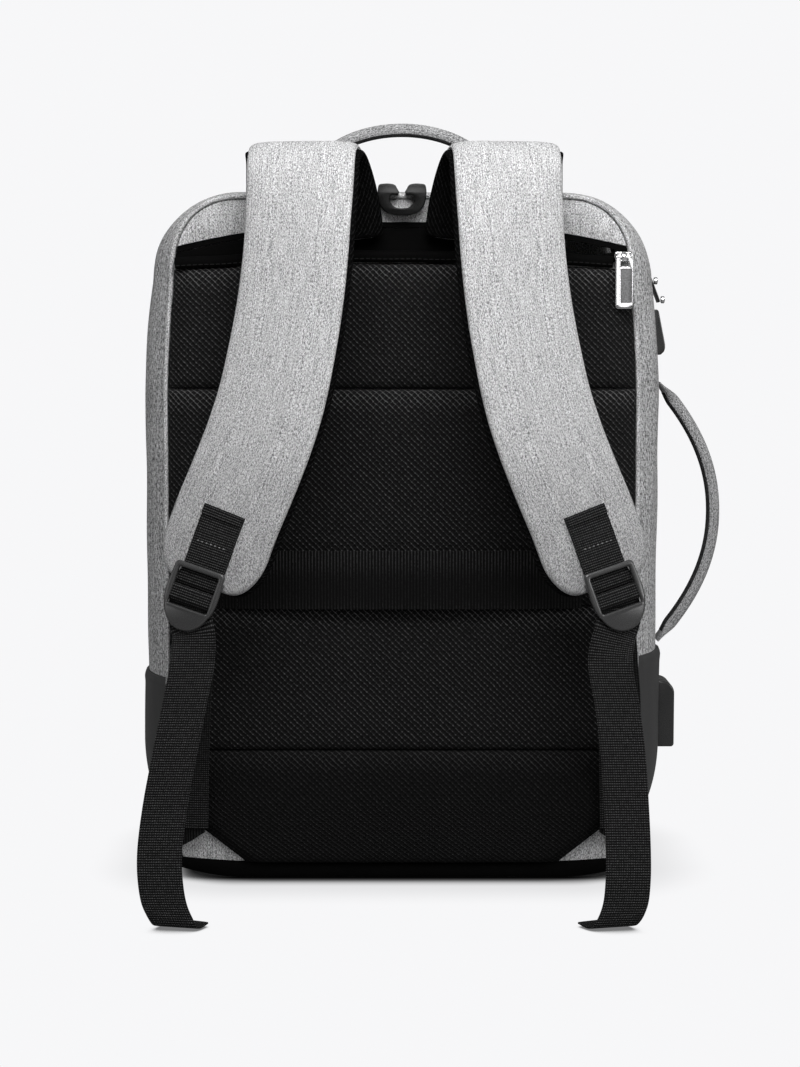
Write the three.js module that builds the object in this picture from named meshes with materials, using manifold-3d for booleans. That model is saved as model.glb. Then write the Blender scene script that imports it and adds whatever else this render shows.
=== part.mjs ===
// Anti theft backpack, standing on its base with the shoulder straps towards -Y.
// Millimetres, +Z up, origin on the floor at the middle of the base.

import * as THREE from 'three'
import { mergeVertices } from 'three/addons/utils/BufferGeometryUtils.js'
import Module from 'manifold-3d'

const wasm = await Module()
wasm.setup()

// Driving dimensions

const WIDTH = 317
const HEIGHT = 415
const BASE_DEPTH = 124
const TOP_DEPTH = 98
const CLOTH = 2
const GAP = 0.3

const BOOT_PROUD = 2
const BOOT_TOP_LEFT = 122
const BOOT_TOP_RIGHT = 135
const MAIN_ZIP_WIDTH = 7.5
const MAIN_ZIP_BEHIND = 70
const PIPING_RADIUS = 1.4
const FRONT_BULGE = 9
const FRONT_SEAM = 0.9
const PANEL_MARGIN = 0.6

const PAD_THICKNESS = 7.2
const PAD_EDGE = 1.5
const PAD_BEVEL = 10
const PAD_INSET = 3
const PAD_SEAM = 1.2
const BINDING_HEIGHT = 7
const BINDING_DEPTH = 7.8
const BINDING_SAG = 3.5
const BASE_BINDING_HEIGHT = 9
const BASE_BINDING_DEPTH = 2.2
const ZIP_TAPE = 3
const POCKET_GAPE = 7.5

const LUGGAGE_STRAP_WIDTH = 35
const LUGGAGE_STRAP_SPAN = 217
const LUGGAGE_STRAP_THICKNESS = 1.6
const LUGGAGE_STRAP_BOW = 6.5

const STRAP_THICKNESS = 11
const STRAP_WIDTH_TOP = 62.5
const STRAP_WIDTH_END = 65
const STRAP_REACH = 73
const STRAP_RISE = 19
const STRAP_TURN = THREE.MathUtils.degToRad(15)
const STRAP_SHIFT = 1.3

const WEBBING_WIDTH = 25
const WEBBING_THICKNESS = 1.3
const PATCH_LENGTH = 34
const BUCKLE_WIDTH = 31
const BUCKLE_LENGTH = 37.5
const BUCKLE_RAIL = 2.6
const BUCKLE_OVERLAP = 10
const BUCKLE_THICKNESS = 3.4
const WING_THICKNESS = 2.2
const TAIL_REACH = 118
const FLOOR_CLEARANCE = 0.6

const HANDLE_DIAMETER = 8
const HANDLE_TAB_WIDTH = 22
const HANDLE_TAB_THICKNESS = 2.4
const TOP_HANDLE_SPAN = 116
const TOP_HANDLE_RISE = 40.5
const SIDE_HANDLE_LENGTH = 161
const SIDE_HANDLE_REACH = 35

const CLIP_WIDTH = 28.6
const CLIP_HEIGHT = 18.2
const CLIP_BAND = 5.4
const CLIP_MOUTH = 2.4
const CLIP_DEPTH = 7

const PULL_WIDTH = 10.4
const PULL_LENGTH = 31
const PULL_THICKNESS = 1.6
const SLIDER_WIDTH = 11
const SLIDER_HEIGHT = 7

const LOCK_LENGTH = 28.5
const LOCK_THICKNESS = 7
const LOCK_WIDTH = 17
const FLAP_LENGTH = 28
const FLAP_SINK = 0.7
const PULLER_RADIUS = 2.3
const USB_HEIGHT = 42
const USB_REACH = 11.2
const USB_WIDTH = 27
const USB_ROUND = 8

// Places that follow from the sizes above

const HALF = WIDTH / 2
const BACK = -BASE_DEPTH / 2
const BACK_EDGE = BACK + CLOTH + GAP
const PIPING_FACE = BACK_EDGE - GAP - 2 * PIPING_RADIUS
const CORNER_RISE = HEIGHT * 0.188
const SIDE_TOP = HEIGHT * 0.872
const TAPER_START = HEIGHT * 0.7

// Two closed outlines: the back and front seams, and the widest line half way between them.
// Widths are shares of half the bag's width, rises are shares of its height.
const OUTLINES = {
  seam: { half: 0.89, halfTop: 0.864, top: 0.988, topCorner: 0.271, topPower: 2.4, baseCorner: 0.252, basePower: 4 },
  girth: { half: 1, halfTop: 0.962, top: 1, topCorner: 0.345, topPower: 2, baseCorner: 0.362, basePower: 2 },
}

// Shares of the walk round half an outline at which its stretches end
const WALK = { base: 0.12, baseCorner: 0.27, side: 0.62, topCorner: 0.82 }

// Colours and finishes
const FINISH = {
  fabric: { color: '#a9aaac', roughness: 0.95, metalness: 0 },
  strapFabric: { color: '#c4c5c7', roughness: 0.95, metalness: 0 },
  mesh: { color: '#1b1b1c', roughness: 0.9, metalness: 0 },
  webbing: { color: '#161617', roughness: 0.85, metalness: 0 },
  coated: { color: '#343537', roughness: 0.55, metalness: 0 },
  plastic: { color: '#2b2b2d', roughness: 0.4, metalness: 0 },
  chrome: { color: '#d6d6d8', roughness: 0.18, metalness: 1 },
}

const bag = new THREE.Group()
bag.name = 'anti_theft_backpack'

// Adds one named piece with its finish
function add(name, geometry, finish) {
  const mesh = new THREE.Mesh(geometry, new THREE.MeshStandardMaterial(FINISH[finish]))
  mesh.name = name
  bag.add(mesh)
  return mesh
}

const point = (x, y, z) => new THREE.Vector3(x, y, z)
const mix = THREE.MathUtils.lerp
const limit = THREE.MathUtils.clamp

// Evenly spaced values from first to last, with the ends included
function spread(first, last, steps) {
  return Array.from({ length: steps + 1 }, (_, i) => mix(first, last, i / steps))
}

// Six times the volume that a list of triangles closes in
function signedVolume(points, triangles) {
  let total = 0
  for (const [a, b, c] of triangles) total += points[a].dot(points[b].clone().cross(points[c]))
  return total
}

// Geometry of points and triangles, turned so that its faces point out
function closedGeometry(points, triangles) {
  const outward = signedVolume(points, triangles) > 0
  const index = triangles.flatMap(([a, b, c]) => (outward ? [a, b, c] : [a, c, b]))
  const geometry = new THREE.BufferGeometry().setFromPoints(points)
  geometry.setIndex(index)
  geometry.computeVertexNormals()
  return geometry
}

// Closed solid between two grids of points that have the same rows and columns
function solidBetween(outer, inner) {
  const rows = outer.length
  const columns = outer[0].length
  const points = [...outer.flat(), ...inner.flat()]
  const far = rows * columns
  const at = (i, j) => i * columns + j
  const triangles = []
  for (let i = 0; i < rows - 1; i++) {
    for (let j = 0; j < columns - 1; j++) {
      const [a, b, c, d] = [at(i, j), at(i + 1, j), at(i + 1, j + 1), at(i, j + 1)]
      triangles.push([a, b, c], [a, c, d])
      triangles.push([far + a, far + c, far + b], [far + a, far + d, far + c])
    }
  }
  const rim = []
  for (let i = 0; i < rows - 1; i++) rim.push(at(i, 0))
  for (let j = 0; j < columns - 1; j++) rim.push(at(rows - 1, j))
  for (let i = rows - 1; i > 0; i--) rim.push(at(i, columns - 1))
  for (let j = columns - 1; j > 0; j--) rim.push(at(0, j))
  rim.forEach((a, k) => {
    const b = rim[(k + 1) % rim.length]
    triangles.push([a, far + a, far + b], [a, far + b, b])
  })
  return closedGeometry(points, triangles)
}

// Shell of one thickness inside a surface that takes two parameters
function shell(surface, us, vs, thickness) {
  const step = 1e-3
  const middle = point(0, 0, HEIGHT / 2)
  const outer = us.map((u) => vs.map((v) => surface(u, v)))
  const inner = us.map((u, i) =>
    vs.map((v, j) => {
      const alongU = surface(u + step, v).sub(surface(u - step, v))
      const alongV = surface(u, v + step).sub(surface(u, v - step))
      const normal = alongU.cross(alongV).normalize()
      const here = outer[i][j]
      if (normal.dot(here.clone().sub(middle)) < 0) normal.negate()
      return here.clone().addScaledVector(normal, -thickness)
    }),
  )
  return solidBetween(outer, inner)
}

// Directions across and out of each station, square to the way that the stations run. A station
// holds its centre, the direction across it, and half its width and half its thickness. A level
// station keeps its own direction across, as threads do where a band drifts aside.
function squared(stations, facing) {
  let turn = 0
  return stations.map((station, i) => {
    const before = stations[Math.max(i - 1, 0)].at
    const after = stations[Math.min(i + 1, stations.length - 1)].at
    const along = after.clone().sub(before).normalize()
    const up = along.clone().cross(station.across).normalize()
    if (turn === 0) turn = up.dot(facing) < 0 ? -1 : 1
    const across = station.level ? station.across : up.clone().cross(along).normalize()
    return { ...station, across, up: up.multiplyScalar(turn) }
  })
}

// Stations raised where a corner of theirs would come lower than the floor clearance
function liftedOffFloor(stations, facing) {
  return squared(stations, facing).map(({ at, across, up, half, thick, level }) => {
    const lowest = at.z - Math.abs(across.z) * half - Math.abs(up.z) * thick
    const lift = Math.max(0, FLOOR_CLEARANCE - lowest)
    return { at: point(at.x, at.y, at.z + lift), across, half, thick, level }
  })
}

// Solid swept along stations, which scale a section of points from -1 to 1. The facing says which
// side of the first station is the section's upper one. Its two faces are split into triangles the
// same way, so that a twisted band keeps its thickness.
function sweep(stations, section, facing) {
  const points = []
  const triangles = []
  for (const { at, across, up, half, thick } of squared(stations, facing)) {
    for (const [a, b] of section) {
      points.push(at.clone().addScaledVector(across, a * half).addScaledVector(up, b * thick))
    }
  }
  const count = section.length
  for (let i = 0; i < stations.length - 1; i++) {
    for (let k = 0; k < count; k++) {
      const next = (k + 1) % count
      const [a, b] = [i * count + k, i * count + next]
      if (k < count / 2) triangles.push([a, b, b + count], [a, b + count, a + count])
      else triangles.push([a, b, a + count], [b, b + count, a + count])
    }
  }
  const end = (stations.length - 1) * count
  for (let k = 1; k < count - 1; k++) {
    triangles.push([0, k + 1, k], [end, end + k, end + k + 1])
  }
  return closedGeometry(points, triangles)
}

const TAPE_SECTION = [[-1, -1], [1, -1], [1, 1], [-1, 1]]
const ROUND_SECTION = spread(0, 7, 7).map((k) => {
  const angle = ((k + 0.5) * Math.PI) / 4
  return [Math.cos(angle), Math.sin(angle)]
})
const COVER_SECTION = [[-1, 0], [1, 0], [1, 0.45], [0.96, 0.85], [0.86, 1], [-0.86, 1], [-0.96, 0.85], [-1, 0.45]]

// Geometry in manifold form and back, for joining and cutting
function toSolid(geometry) {
  const bare = geometry.clone()
  bare.deleteAttribute('normal')
  bare.deleteAttribute('uv')
  const merged = mergeVertices(bare, 1e-4)
  const mesh = new wasm.Mesh({
    numProp: 3,
    vertProperties: new Float32Array(merged.attributes.position.array),
    triVerts: new Uint32Array(merged.index.array),
  })
  return new wasm.Manifold(mesh)
}

function fromSolid(solid) {
  const mesh = solid.getMesh()
  const geometry = new THREE.BufferGeometry()
  geometry.setAttribute('position', new THREE.BufferAttribute(new Float32Array(mesh.vertProperties), 3))
  geometry.setIndex(Array.from(mesh.triVerts))
  geometry.computeVertexNormals()
  return geometry
}

// Block between two corners
function block(low, high) {
  const size = high.clone().sub(low)
  const geometry = new THREE.BoxGeometry(size.x, size.y, size.z)
  const centre = low.clone().add(high).multiplyScalar(0.5)
  return geometry.translate(centre.x, centre.y, centre.z)
}

// Outline in X and Z pushed out from yNear towards -Y by a depth
function plate(outline, yNear, depth) {
  const geometry = new THREE.ExtrudeGeometry(outline, { depth, bevelEnabled: false, curveSegments: 8 })
  return geometry.rotateX(Math.PI / 2).translate(0, yNear, 0)
}

// The bag's outline

// Half of an outline, walked from the middle of the base to the middle of the top
function halfOutline(row, walk) {
  const half = HALF * row.half
  const baseCorner = HALF * row.baseCorner
  if (walk <= WALK.base) return [((half - baseCorner) * walk) / WALK.base, 0]
  if (walk <= WALK.baseCorner) {
    const angle = ((walk - WALK.base) / (WALK.baseCorner - WALK.base)) * (Math.PI / 2)
    const out = Math.sin(angle) ** (2 / row.basePower)
    const down = Math.max(Math.cos(angle), 0) ** (2 / row.basePower)
    return [half - baseCorner + baseCorner * out, CORNER_RISE * (1 - down)]
  }
  if (walk <= WALK.side) {
    const z = mix(CORNER_RISE, SIDE_TOP, (walk - WALK.baseCorner) / (WALK.side - WALK.baseCorner))
    return [sideAt(row, z), z]
  }
  const halfTop = HALF * row.halfTop
  const topCorner = HALF * row.topCorner
  const rise = HEIGHT * row.top - SIDE_TOP
  if (walk <= WALK.topCorner) {
    const angle = ((walk - WALK.side) / (WALK.topCorner - WALK.side)) * (Math.PI / 2)
    const out = Math.max(Math.cos(angle), 0) ** (2 / row.topPower)
    const up = Math.sin(angle) ** (2 / row.topPower)
    return [halfTop - topCorner + topCorner * out, SIDE_TOP + rise * up]
  }
  const share = (walk - WALK.topCorner) / (1 - WALK.topCorner)
  return [(halfTop - topCorner) * (1 - share), HEIGHT * row.top]
}

// Half width of an outline's straight side at a height, with its slight taper to the top
function sideAt(row, z) {
  const taper = limit((z - TAPER_START) / (SIDE_TOP - TAPER_START), 0, 1) ** 1.5
  return HALF * mix(row.half, row.halfTop, taper)
}

// Half width at any height of an outline drawn in by an inset
function halfWidthAt(row, z, inset) {
  if (z < CORNER_RISE) {
    const corner = HALF * row.baseCorner
    const down = limit((CORNER_RISE - z) / (CORNER_RISE - inset), 0, 1)
    const out = (1 - down ** row.basePower) ** (1 / row.basePower)
    return HALF * row.half - corner + (corner - inset) * out
  }
  if (z <= SIDE_TOP) return sideAt(row, z) - inset
  const corner = HALF * row.topCorner
  const up = limit((z - SIDE_TOP) / (HEIGHT * row.top - SIDE_TOP - inset), 0, 1)
  return HALF * row.halfTop - corner + (corner - inset) * (1 - up ** row.topPower) ** (1 / row.topPower)
}

// Place of the front seam in Y: upright low down, leaning back towards the top
function frontAt(z) {
  const lean = THREE.MathUtils.smoothstep(z / HEIGHT, 0.3, 1)
  return BACK + mix(BASE_DEPTH, TOP_DEPTH, lean)
}

// Point of the gusset. The walk goes from 0 at the base, up the +X side, over the top at 1 and down
// the -X side to 2; the depth goes from 0 at the back seam to 1 at the front seam.
function gussetPoint(walk, depth, proud = 0) {
  const side = walk > 1 ? -1 : 1
  const along = walk > 1 ? 2 - walk : walk
  const seam = halfOutline(OUTLINES.seam, along)
  const girth = halfOutline(OUTLINES.girth, along)
  const swell = 1 - Math.abs(2 * depth - 1) ** 2.6
  const x = mix(seam[0], girth[0], swell)
  const z = mix(seam[1], girth[1], swell)
  const y = mix(BACK_EDGE, frontAt(z), depth)
  return point(side * (x + proud * Math.min(1, z / CORNER_RISE)), y, z)
}

// Share of the walk at a height on the straight side
function walkAt(z) {
  return mix(WALK.baseCorner, WALK.side, (z - CORNER_RISE) / (SIDE_TOP - CORNER_RISE))
}

// Body panels

const DEPTH_GAP = GAP / TOP_DEPTH
const ZIP_START = MAIN_ZIP_BEHIND / BASE_DEPTH
const ZIP_END = ZIP_START + MAIN_ZIP_WIDTH / BASE_DEPTH

// Walk values of the grey gusset, from the top of the right boot over to the top of the left one
function gussetWalk() {
  const right = [...spread(walkAt(BOOT_TOP_RIGHT + GAP), WALK.side, 5), ...spread(WALK.side, WALK.topCorner, 6).slice(1)]
  const left = [...spread(walkAt(BOOT_TOP_LEFT + GAP), WALK.side, 5), ...spread(WALK.side, WALK.topCorner, 6).slice(1)]
  return [...right, ...spread(WALK.topCorner, 2 - WALK.topCorner, 6).slice(1, -1), ...left.reverse().map((w) => 2 - w)]
}

function buildGusset() {
  const walk = gussetWalk()
  add('gusset_back', shell(gussetPoint, walk, spread(0, ZIP_START - DEPTH_GAP, 6), CLOTH), 'fabric')
  add('main_zip', shell(gussetPoint, walk, spread(ZIP_START, ZIP_END, 1), CLOTH), 'webbing')
  add('gusset_front', shell(gussetPoint, walk, spread(ZIP_END + DEPTH_GAP, 1, 5), CLOTH), 'fabric')
}

function buildBoot() {
  const surface = (walk, depth) => gussetPoint(walk, depth, BOOT_PROUD)
  const low = WALK.base
  const depths = spread(0, 1, 8)
  const right = [...spread(low, WALK.baseCorner, 7), walkAt(BOOT_TOP_RIGHT)]
  const left = [...spread(low, WALK.baseCorner, 7), walkAt(BOOT_TOP_LEFT)].map((w) => 2 - w)
  add('boot_right', shell(surface, right, depths, CLOTH), 'coated')
  add('boot_left', shell(surface, left, depths, CLOTH), 'coated')
  const flatHalf = HALF * (OUTLINES.seam.half - OUTLINES.seam.baseCorner) - GAP
  const corner = point(-flatHalf, BACK_EDGE, 0)
  add('base_panel', block(corner, point(flatHalf, frontAt(0), CLOTH)), 'coated')
}

// Flat or curved sheet seen from the back or the front. Its rows run between two edges that may
// depend on x, its sides follow the seam less an inset, and faceY gives its outer face.
function seamSheet({ low, high, inset, rows, columns, faceY, thickness, towards }) {
  const outer = rows.map((v) =>
    columns.map((share) => {
      const middleZ = mix(low(0), high(0), v)
      const roughX = share * halfWidthAt(OUTLINES.seam, middleZ, inset)
      const z = mix(low(roughX), high(roughX), v)
      const x = share * halfWidthAt(OUTLINES.seam, z, inset)
      return point(x, faceY(x, z), z)
    }),
  )
  const inner = outer.map((row) => row.map((p) => point(p.x, p.y + towards * thickness, p.z)))
  return solidBetween(outer, inner)
}

// Edges that run across the back, each a height at a given x
const archEdge = (x) => HEIGHT * 0.952 - HEIGHT * 0.0169 * Math.abs(x / (HALF * 0.6)) ** 2.5
const bindingTop = (x) => HEIGHT * 0.911 - BINDING_SAG * (x / (HALF * 0.82)) ** 2
const bandLow = (x) => bindingTop(x) - BINDING_HEIGHT / 2
const pocketGape = (x) => GAP + POCKET_GAPE * Math.exp(-(((x - HALF * 0.655) / (HALF * 0.088)) ** 2))
const bandHigh = (x) => Math.max(bindingTop(x) + GAP, archEdge(x) - GAP - ZIP_TAPE - pocketGape(x))
const panelInset = PIPING_RADIUS + PANEL_MARGIN
const backTop = HEIGHT * OUTLINES.seam.top - panelInset

// A short run of shares that crowds towards the end, for rounded corners
const crowded = (steps) => spread(0, 1, steps).map((t) => 1 - (1 - t) ** 1.7)
const mirrored = (shares) => [...shares.map((s) => -s).reverse(), ...shares.filter((s) => s > 0)]

function buildBack() {
  const flat = { inset: panelInset, faceY: () => BACK, thickness: CLOTH, towards: 1 }
  const columns = mirrored(spread(0, 1, 8))
  const lowRows = [...spread(0, 0.19, 4), ...spread(0.19, 1, 5).slice(1)]
  const panelHigh = (x) => bandLow(x) - GAP
  add('back_panel', seamSheet({ ...flat, low: () => panelInset, high: panelHigh, rows: lowRows, columns }), 'fabric')
  const bandColumns = mirrored(spread(0, 1, 20))
  add('pocket_band', seamSheet({ ...flat, low: bandLow, high: bandHigh, rows: [0, 1], columns: bandColumns }), 'mesh')
  const tapeLow = (x) => archEdge(x) - GAP - ZIP_TAPE
  const tapeHigh = (x) => archEdge(x) - GAP
  add('back_zip_tape', seamSheet({ ...flat, low: tapeLow, high: tapeHigh, rows: [0, 1], columns }), 'webbing')
  const yokeRows = crowded(5)
  add('yoke', seamSheet({ ...flat, low: archEdge, high: () => backTop, rows: yokeRows, columns }), 'fabric')
}

function buildFront() {
  const slant = (x) => HEIGHT * 0.36 + x * 0.12
  const swell = (x, z) => {
    const across = 1 - Math.min(1, Math.abs(x / (HALF * OUTLINES.seam.half))) ** 4
    const upright = 1 - Math.abs((2 * z) / (HEIGHT * OUTLINES.seam.top) - 1) ** 4
    return FRONT_BULGE * across * upright
  }
  const faceY = (x, z) => frontAt(z) + FRONT_SEAM + CLOTH + swell(x, z)
  const columns = mirrored([0, 0.35, 0.65, 0.85, 0.95, 1])
  const common = { inset: 0, faceY, thickness: CLOTH, towards: -1, columns }
  const lowRows = [0, 0.05, 0.14, 0.3, 0.5, 0.75, 1]
  const highRows = [0, 0.25, 0.5, 0.7, 0.8, 0.88, 0.94, 0.98, 1]
  add('front_panel_lower', seamSheet({ ...common, low: () => GAP, high: slant, rows: lowRows }), 'coated')
  const upperLow = (x) => slant(x) + GAP
  const upperHigh = () => HEIGHT * OUTLINES.seam.top
  add('front_panel_upper', seamSheet({ ...common, low: upperLow, high: upperHigh, rows: highRows }), 'fabric')
}

// Piping that covers the back seam, from just over the floor round the top and down again
function buildPiping() {
  const row = OUTLINES.seam
  const start = mix(WALK.base, WALK.baseCorner, 0.57)
  const half = [
    ...spread(start, WALK.baseCorner, 4),
    ...spread(WALK.baseCorner, WALK.side, 6).slice(1),
    ...spread(WALK.side, WALK.topCorner, 7).slice(1),
    1,
  ]
  const walk = [...half, ...half.slice(0, -1).reverse().map((w) => 2 - w)]
  const y = PIPING_FACE + PIPING_RADIUS
  const stations = walk.map((w) => {
    const [x, z] = halfOutline(row, w > 1 ? 2 - w : w)
    const at = point(w > 1 ? -x : x, y, z)
    return { at, across: point(0, 1, 0), half: PIPING_RADIUS, thick: PIPING_RADIUS }
  })
  add('back_piping', sweep(stations, ROUND_SECTION, point(1, 0, 0)), 'fabric')
}

function buildBaseBinding() {
  const low = (x) => (Math.abs(x) > HALF * 0.64 ? HEIGHT * 0.0005 + ((Math.abs(x) / HALF - 0.64) ** 2) * 90 : HEIGHT * 0.0005)
  const high = (x) => BASE_BINDING_HEIGHT + 4 * (Math.abs(x) / (HALF * 0.82)) ** 4
  const y = BACK - GAP - BASE_BINDING_DEPTH
  const columns = mirrored(spread(0, 1, 7))
  const rows = [0, 1]
  const reach = HALF * 0.83
  const outer = rows.map((v) => columns.map((s) => point(s * reach, y, mix(low(s * reach), high(s * reach), v))))
  const inner = outer.map((row) => row.map((p) => point(p.x, BACK - GAP, p.z)))
  add('base_binding', solidBetween(outer, inner), 'webbing')
}

// Back padding

// Half width of the padding: it follows the seam, and its lower corners are cut off
function padHalfAt(z) {
  const cut = HALF * 0.578 + Math.max(0, z - HEIGHT * 0.0265) / 0.727
  return Math.min(halfWidthAt(OUTLINES.seam, z, PAD_INSET), cut)
}

// Height of the padding over the back panel, from the distance to its side
function padRise(fromSide) {
  return mix(PAD_EDGE, PAD_THICKNESS, limit(fromSide / PAD_BEVEL, 0, 1))
}

const PAD_BACK = BACK - GAP
const padFace = (x, z) => PAD_BACK - padRise(padHalfAt(z) - Math.abs(x))

// One quilted pad between two edges, sunk a little along both
function pad(low, high, rows) {
  const fractions = [-1, -0.5, 0, 0.5, 1]
  const outer = rows.map((v) => {
    const dip = v === 0 || v === 1 ? 0.55 : 1
    const columns = fractions.flatMap((f) => {
      const half = padHalfAt(mix(low(0), high(0), v))
      if (Math.abs(f) < 1) return [f * (half - PAD_BEVEL)]
      return f < 0 ? [-half, -half + PAD_BEVEL] : [half - PAD_BEVEL, half]
    })
    return columns.map((x) => {
      const z = mix(low(x), high(x), v)
      const half = padHalfAt(mix(low(0), high(0), v))
      return point(x, PAD_BACK - dip * padRise(half - Math.abs(x)), z)
    })
  })
  const inner = outer.map((row) => row.map((p) => point(p.x, PAD_BACK, p.z)))
  return solidBetween(outer, inner)
}

// Heights of the seams between the pads, as shares of the bag's height
const PAD_SEAMS = { bottom: 0.0245, lower: 0.19, strap: 0.4, upper: 0.713 }

function buildPads() {
  const seamZ = (share) => () => HEIGHT * share
  const above = (share) => () => HEIGHT * share + PAD_SEAM
  const padTop = (x) => bindingTop(x) - BINDING_HEIGHT - GAP
  const rows = [0, 0.06, 0.5, 0.94, 1]
  const cutRows = [0, 0.07, 0.2, 0.34, 0.48, 0.6, 0.93, 1]
  add('pad_bottom', pad(seamZ(PAD_SEAMS.bottom), seamZ(PAD_SEAMS.lower), cutRows), 'mesh')
  add('pad_middle', pad(above(PAD_SEAMS.lower), seamZ(PAD_SEAMS.strap), rows), 'mesh')
  add('pad_upper', pad(above(PAD_SEAMS.strap), seamZ(PAD_SEAMS.upper), rows), 'mesh')
  add('pad_top', pad(above(PAD_SEAMS.upper), padTop, rows), 'mesh')
}

function buildMeshBinding() {
  const stations = spread(-HALF * 0.845, HALF * 0.785, 12).map((x) => ({
    at: point(x, BACK - GAP - BINDING_DEPTH / 2, bindingTop(x) - BINDING_HEIGHT / 2),
    across: point(0, -1, 0),
    half: BINDING_DEPTH / 2,
    thick: BINDING_HEIGHT / 2,
  }))
  add('mesh_binding', sweep(stations, ROUND_SECTION, point(0, 0, 1)), 'webbing')
}

// The strap that slides over a suitcase handle: sewn down at its ends, free in between
function buildLuggageStrap() {
  const z = HEIGHT * 0.442
  const seat = PAD_BACK - PAD_THICKNESS - GAP - LUGGAGE_STRAP_THICKNESS / 2
  const stations = spread(-1, 1, 16).map((share) => ({
    at: point((share * LUGGAGE_STRAP_SPAN) / 2 - 1.5, seat - LUGGAGE_STRAP_BOW * (1 - share ** 4), z),
    across: point(0, 0, 1),
    half: LUGGAGE_STRAP_WIDTH / 2,
    thick: LUGGAGE_STRAP_THICKNESS / 2,
  }))
  add('luggage_strap', sweep(stations, TAPE_SECTION, point(0, -1, 0)), 'webbing')
}

// Shoulder straps

// Middle line of a shoulder strap from its seam on the yoke, over the arch and down to its end.
// x is a share of half the width, y of the strap's reach behind the back, z of the height.
const STRAP_PATH = [
  { x: 0.290, y: 0.084, z: 0.944 },
  { x: 0.303, y: 0.092, z: 0.974 },
  { x: 0.322, y: 0.118, z: 1.004 },
  { x: 0.344, y: 0.190, z: 1.031 },
  { x: 0.360, y: 0.300, z: 1.046 },
  { x: 0.368, y: 0.420, z: 1.047 },
  { x: 0.372, y: 0.545, z: 1.030 },
  { x: 0.374, y: 0.640, z: 0.996 },
  { x: 0.380, y: 0.695, z: 0.950 },
  { x: 0.390, y: 0.730, z: 0.895 },
  { x: 0.410, y: 0.765, z: 0.830 },
  { x: 0.437, y: 0.798, z: 0.770 },
  { x: 0.476, y: 0.830, z: 0.702 },
  { x: 0.518, y: 0.858, z: 0.651 },
  { x: 0.575, y: 0.892, z: 0.595 },
  { x: 0.632, y: 0.925, z: 0.543 },
  { x: 0.674, y: 0.960, z: 0.499 },
  { x: 0.720, y: 1.000, z: 0.449 },
]
const STRAP_STEPS = 30
const STRAP_ROUND = 26

// Runs of the strap above the bag's top follow its rise, the rest follow the bag's height
function strapHeight(share) {
  return share <= 1 ? HEIGHT * share : HEIGHT + ((share - 1) / 0.047) * STRAP_RISE
}

function strapCurve(side) {
  const seat = BACK - GAP - STRAP_THICKNESS / 2
  const first = STRAP_PATH[0].y
  const points = STRAP_PATH.map((row) => {
    const y = seat - (row.y - first) * STRAP_REACH
    return point(side * row.x * HALF + STRAP_SHIFT, y, strapHeight(row.z))
  })
  return new THREE.CatmullRomCurve3(points)
}

// Direction across a strap: its inner edge is turned towards -Y once it is over the arch
function strapAcross(side, share) {
  const turn = STRAP_TURN * THREE.MathUtils.smoothstep(share, 0.1, 0.4)
  return point(-side * Math.cos(turn), -Math.sin(turn), 0)
}

// Place, directions and length of the strap at a share of its length
function strapFrame(side, share) {
  const curve = strapCurve(side)
  const at = curve.getPointAt(share)
  const along = curve.getTangentAt(share)
  const inward = strapAcross(side, share)
  inward.addScaledVector(along, -inward.dot(along)).normalize()
  const out = along.clone().cross(inward).normalize()
  if (out.y > 0) out.negate()
  return { at, along, inward, out }
}

function strapStations(side, extra) {
  const curve = strapCurve(side)
  const length = curve.getLength()
  const roundShare = 1 - STRAP_ROUND / length
  const shares = [...spread(0, roundShare, STRAP_STEPS - 6), ...crowded(6).slice(1).map((t) => mix(roundShare, 1, t))]
  return shares.map((share) => {
    const width = mix(STRAP_WIDTH_TOP, STRAP_WIDTH_END, THREE.MathUtils.smoothstep(share, 0.3, 0.8))
    const left = limit((1 - share) / (1 - roundShare), 0, 1)
    const rounding = mix(0.5, 1, Math.sqrt(1 - (1 - left) ** 2))
    return {
      at: curve.getPointAt(share),
      across: strapAcross(side, share),
      half: (width / 2) * rounding + extra,
      thick: STRAP_THICKNESS / 2,
    }
  })
}

function buildStrap(side, name) {
  const cover = COVER_SECTION.map(([a, b]) => [a, b * 0.98 + 0.02])
  const under = COVER_SECTION.map(([a, b]) => [a, -b * 0.96 - 0.04])
  add(`strap_cover_${name}`, sweep(strapStations(side, 0), cover, point(0, 1, 0)), 'strapFabric')
  add(`strap_mesh_${name}`, sweep(strapStations(side, 0.8), under, point(0, 1, 0)), 'mesh')
}

// Buckles. Places on a buckle are given along it from its top bar, and off the strap's face.

const BUCKLE = {
  base: 5,
  topBar: 3.4,
  fixedBar: { start: 5.4, end: 9.4, low: 2.2, high: 3.7 },
  slideBar: { start: 15.4, end: 20.8, low: 3.6, high: 6 },
  tab: 24.6,
}

// Frame of a buckle: origin at its top bar on the strap's face
function buckleFrame(side) {
  const frame = strapFrame(side, 1)
  const at = frame.at.clone().addScaledVector(frame.along, -BUCKLE_OVERLAP)
  at.addScaledVector(frame.out, STRAP_THICKNESS / 2)
  return { ...frame, at }
}

// Point over the strap's face, a distance up from its buckle's top bar
function onStrap(side, back, off) {
  const frame = strapFrame(side, 1 - (BUCKLE_OVERLAP + back) / strapCurve(side).getLength())
  return { at: frame.at.addScaledVector(frame.out, STRAP_THICKNESS / 2 + off), across: frame.inward }
}

// Point of a buckle's frame: across towards the body's middle, along downwards, off the strap
function onBuckle(frame, across, along, off) {
  const p = frame.at.clone().addScaledVector(frame.inward, across)
  return p.addScaledVector(frame.along, along).addScaledVector(frame.out, off)
}

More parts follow.
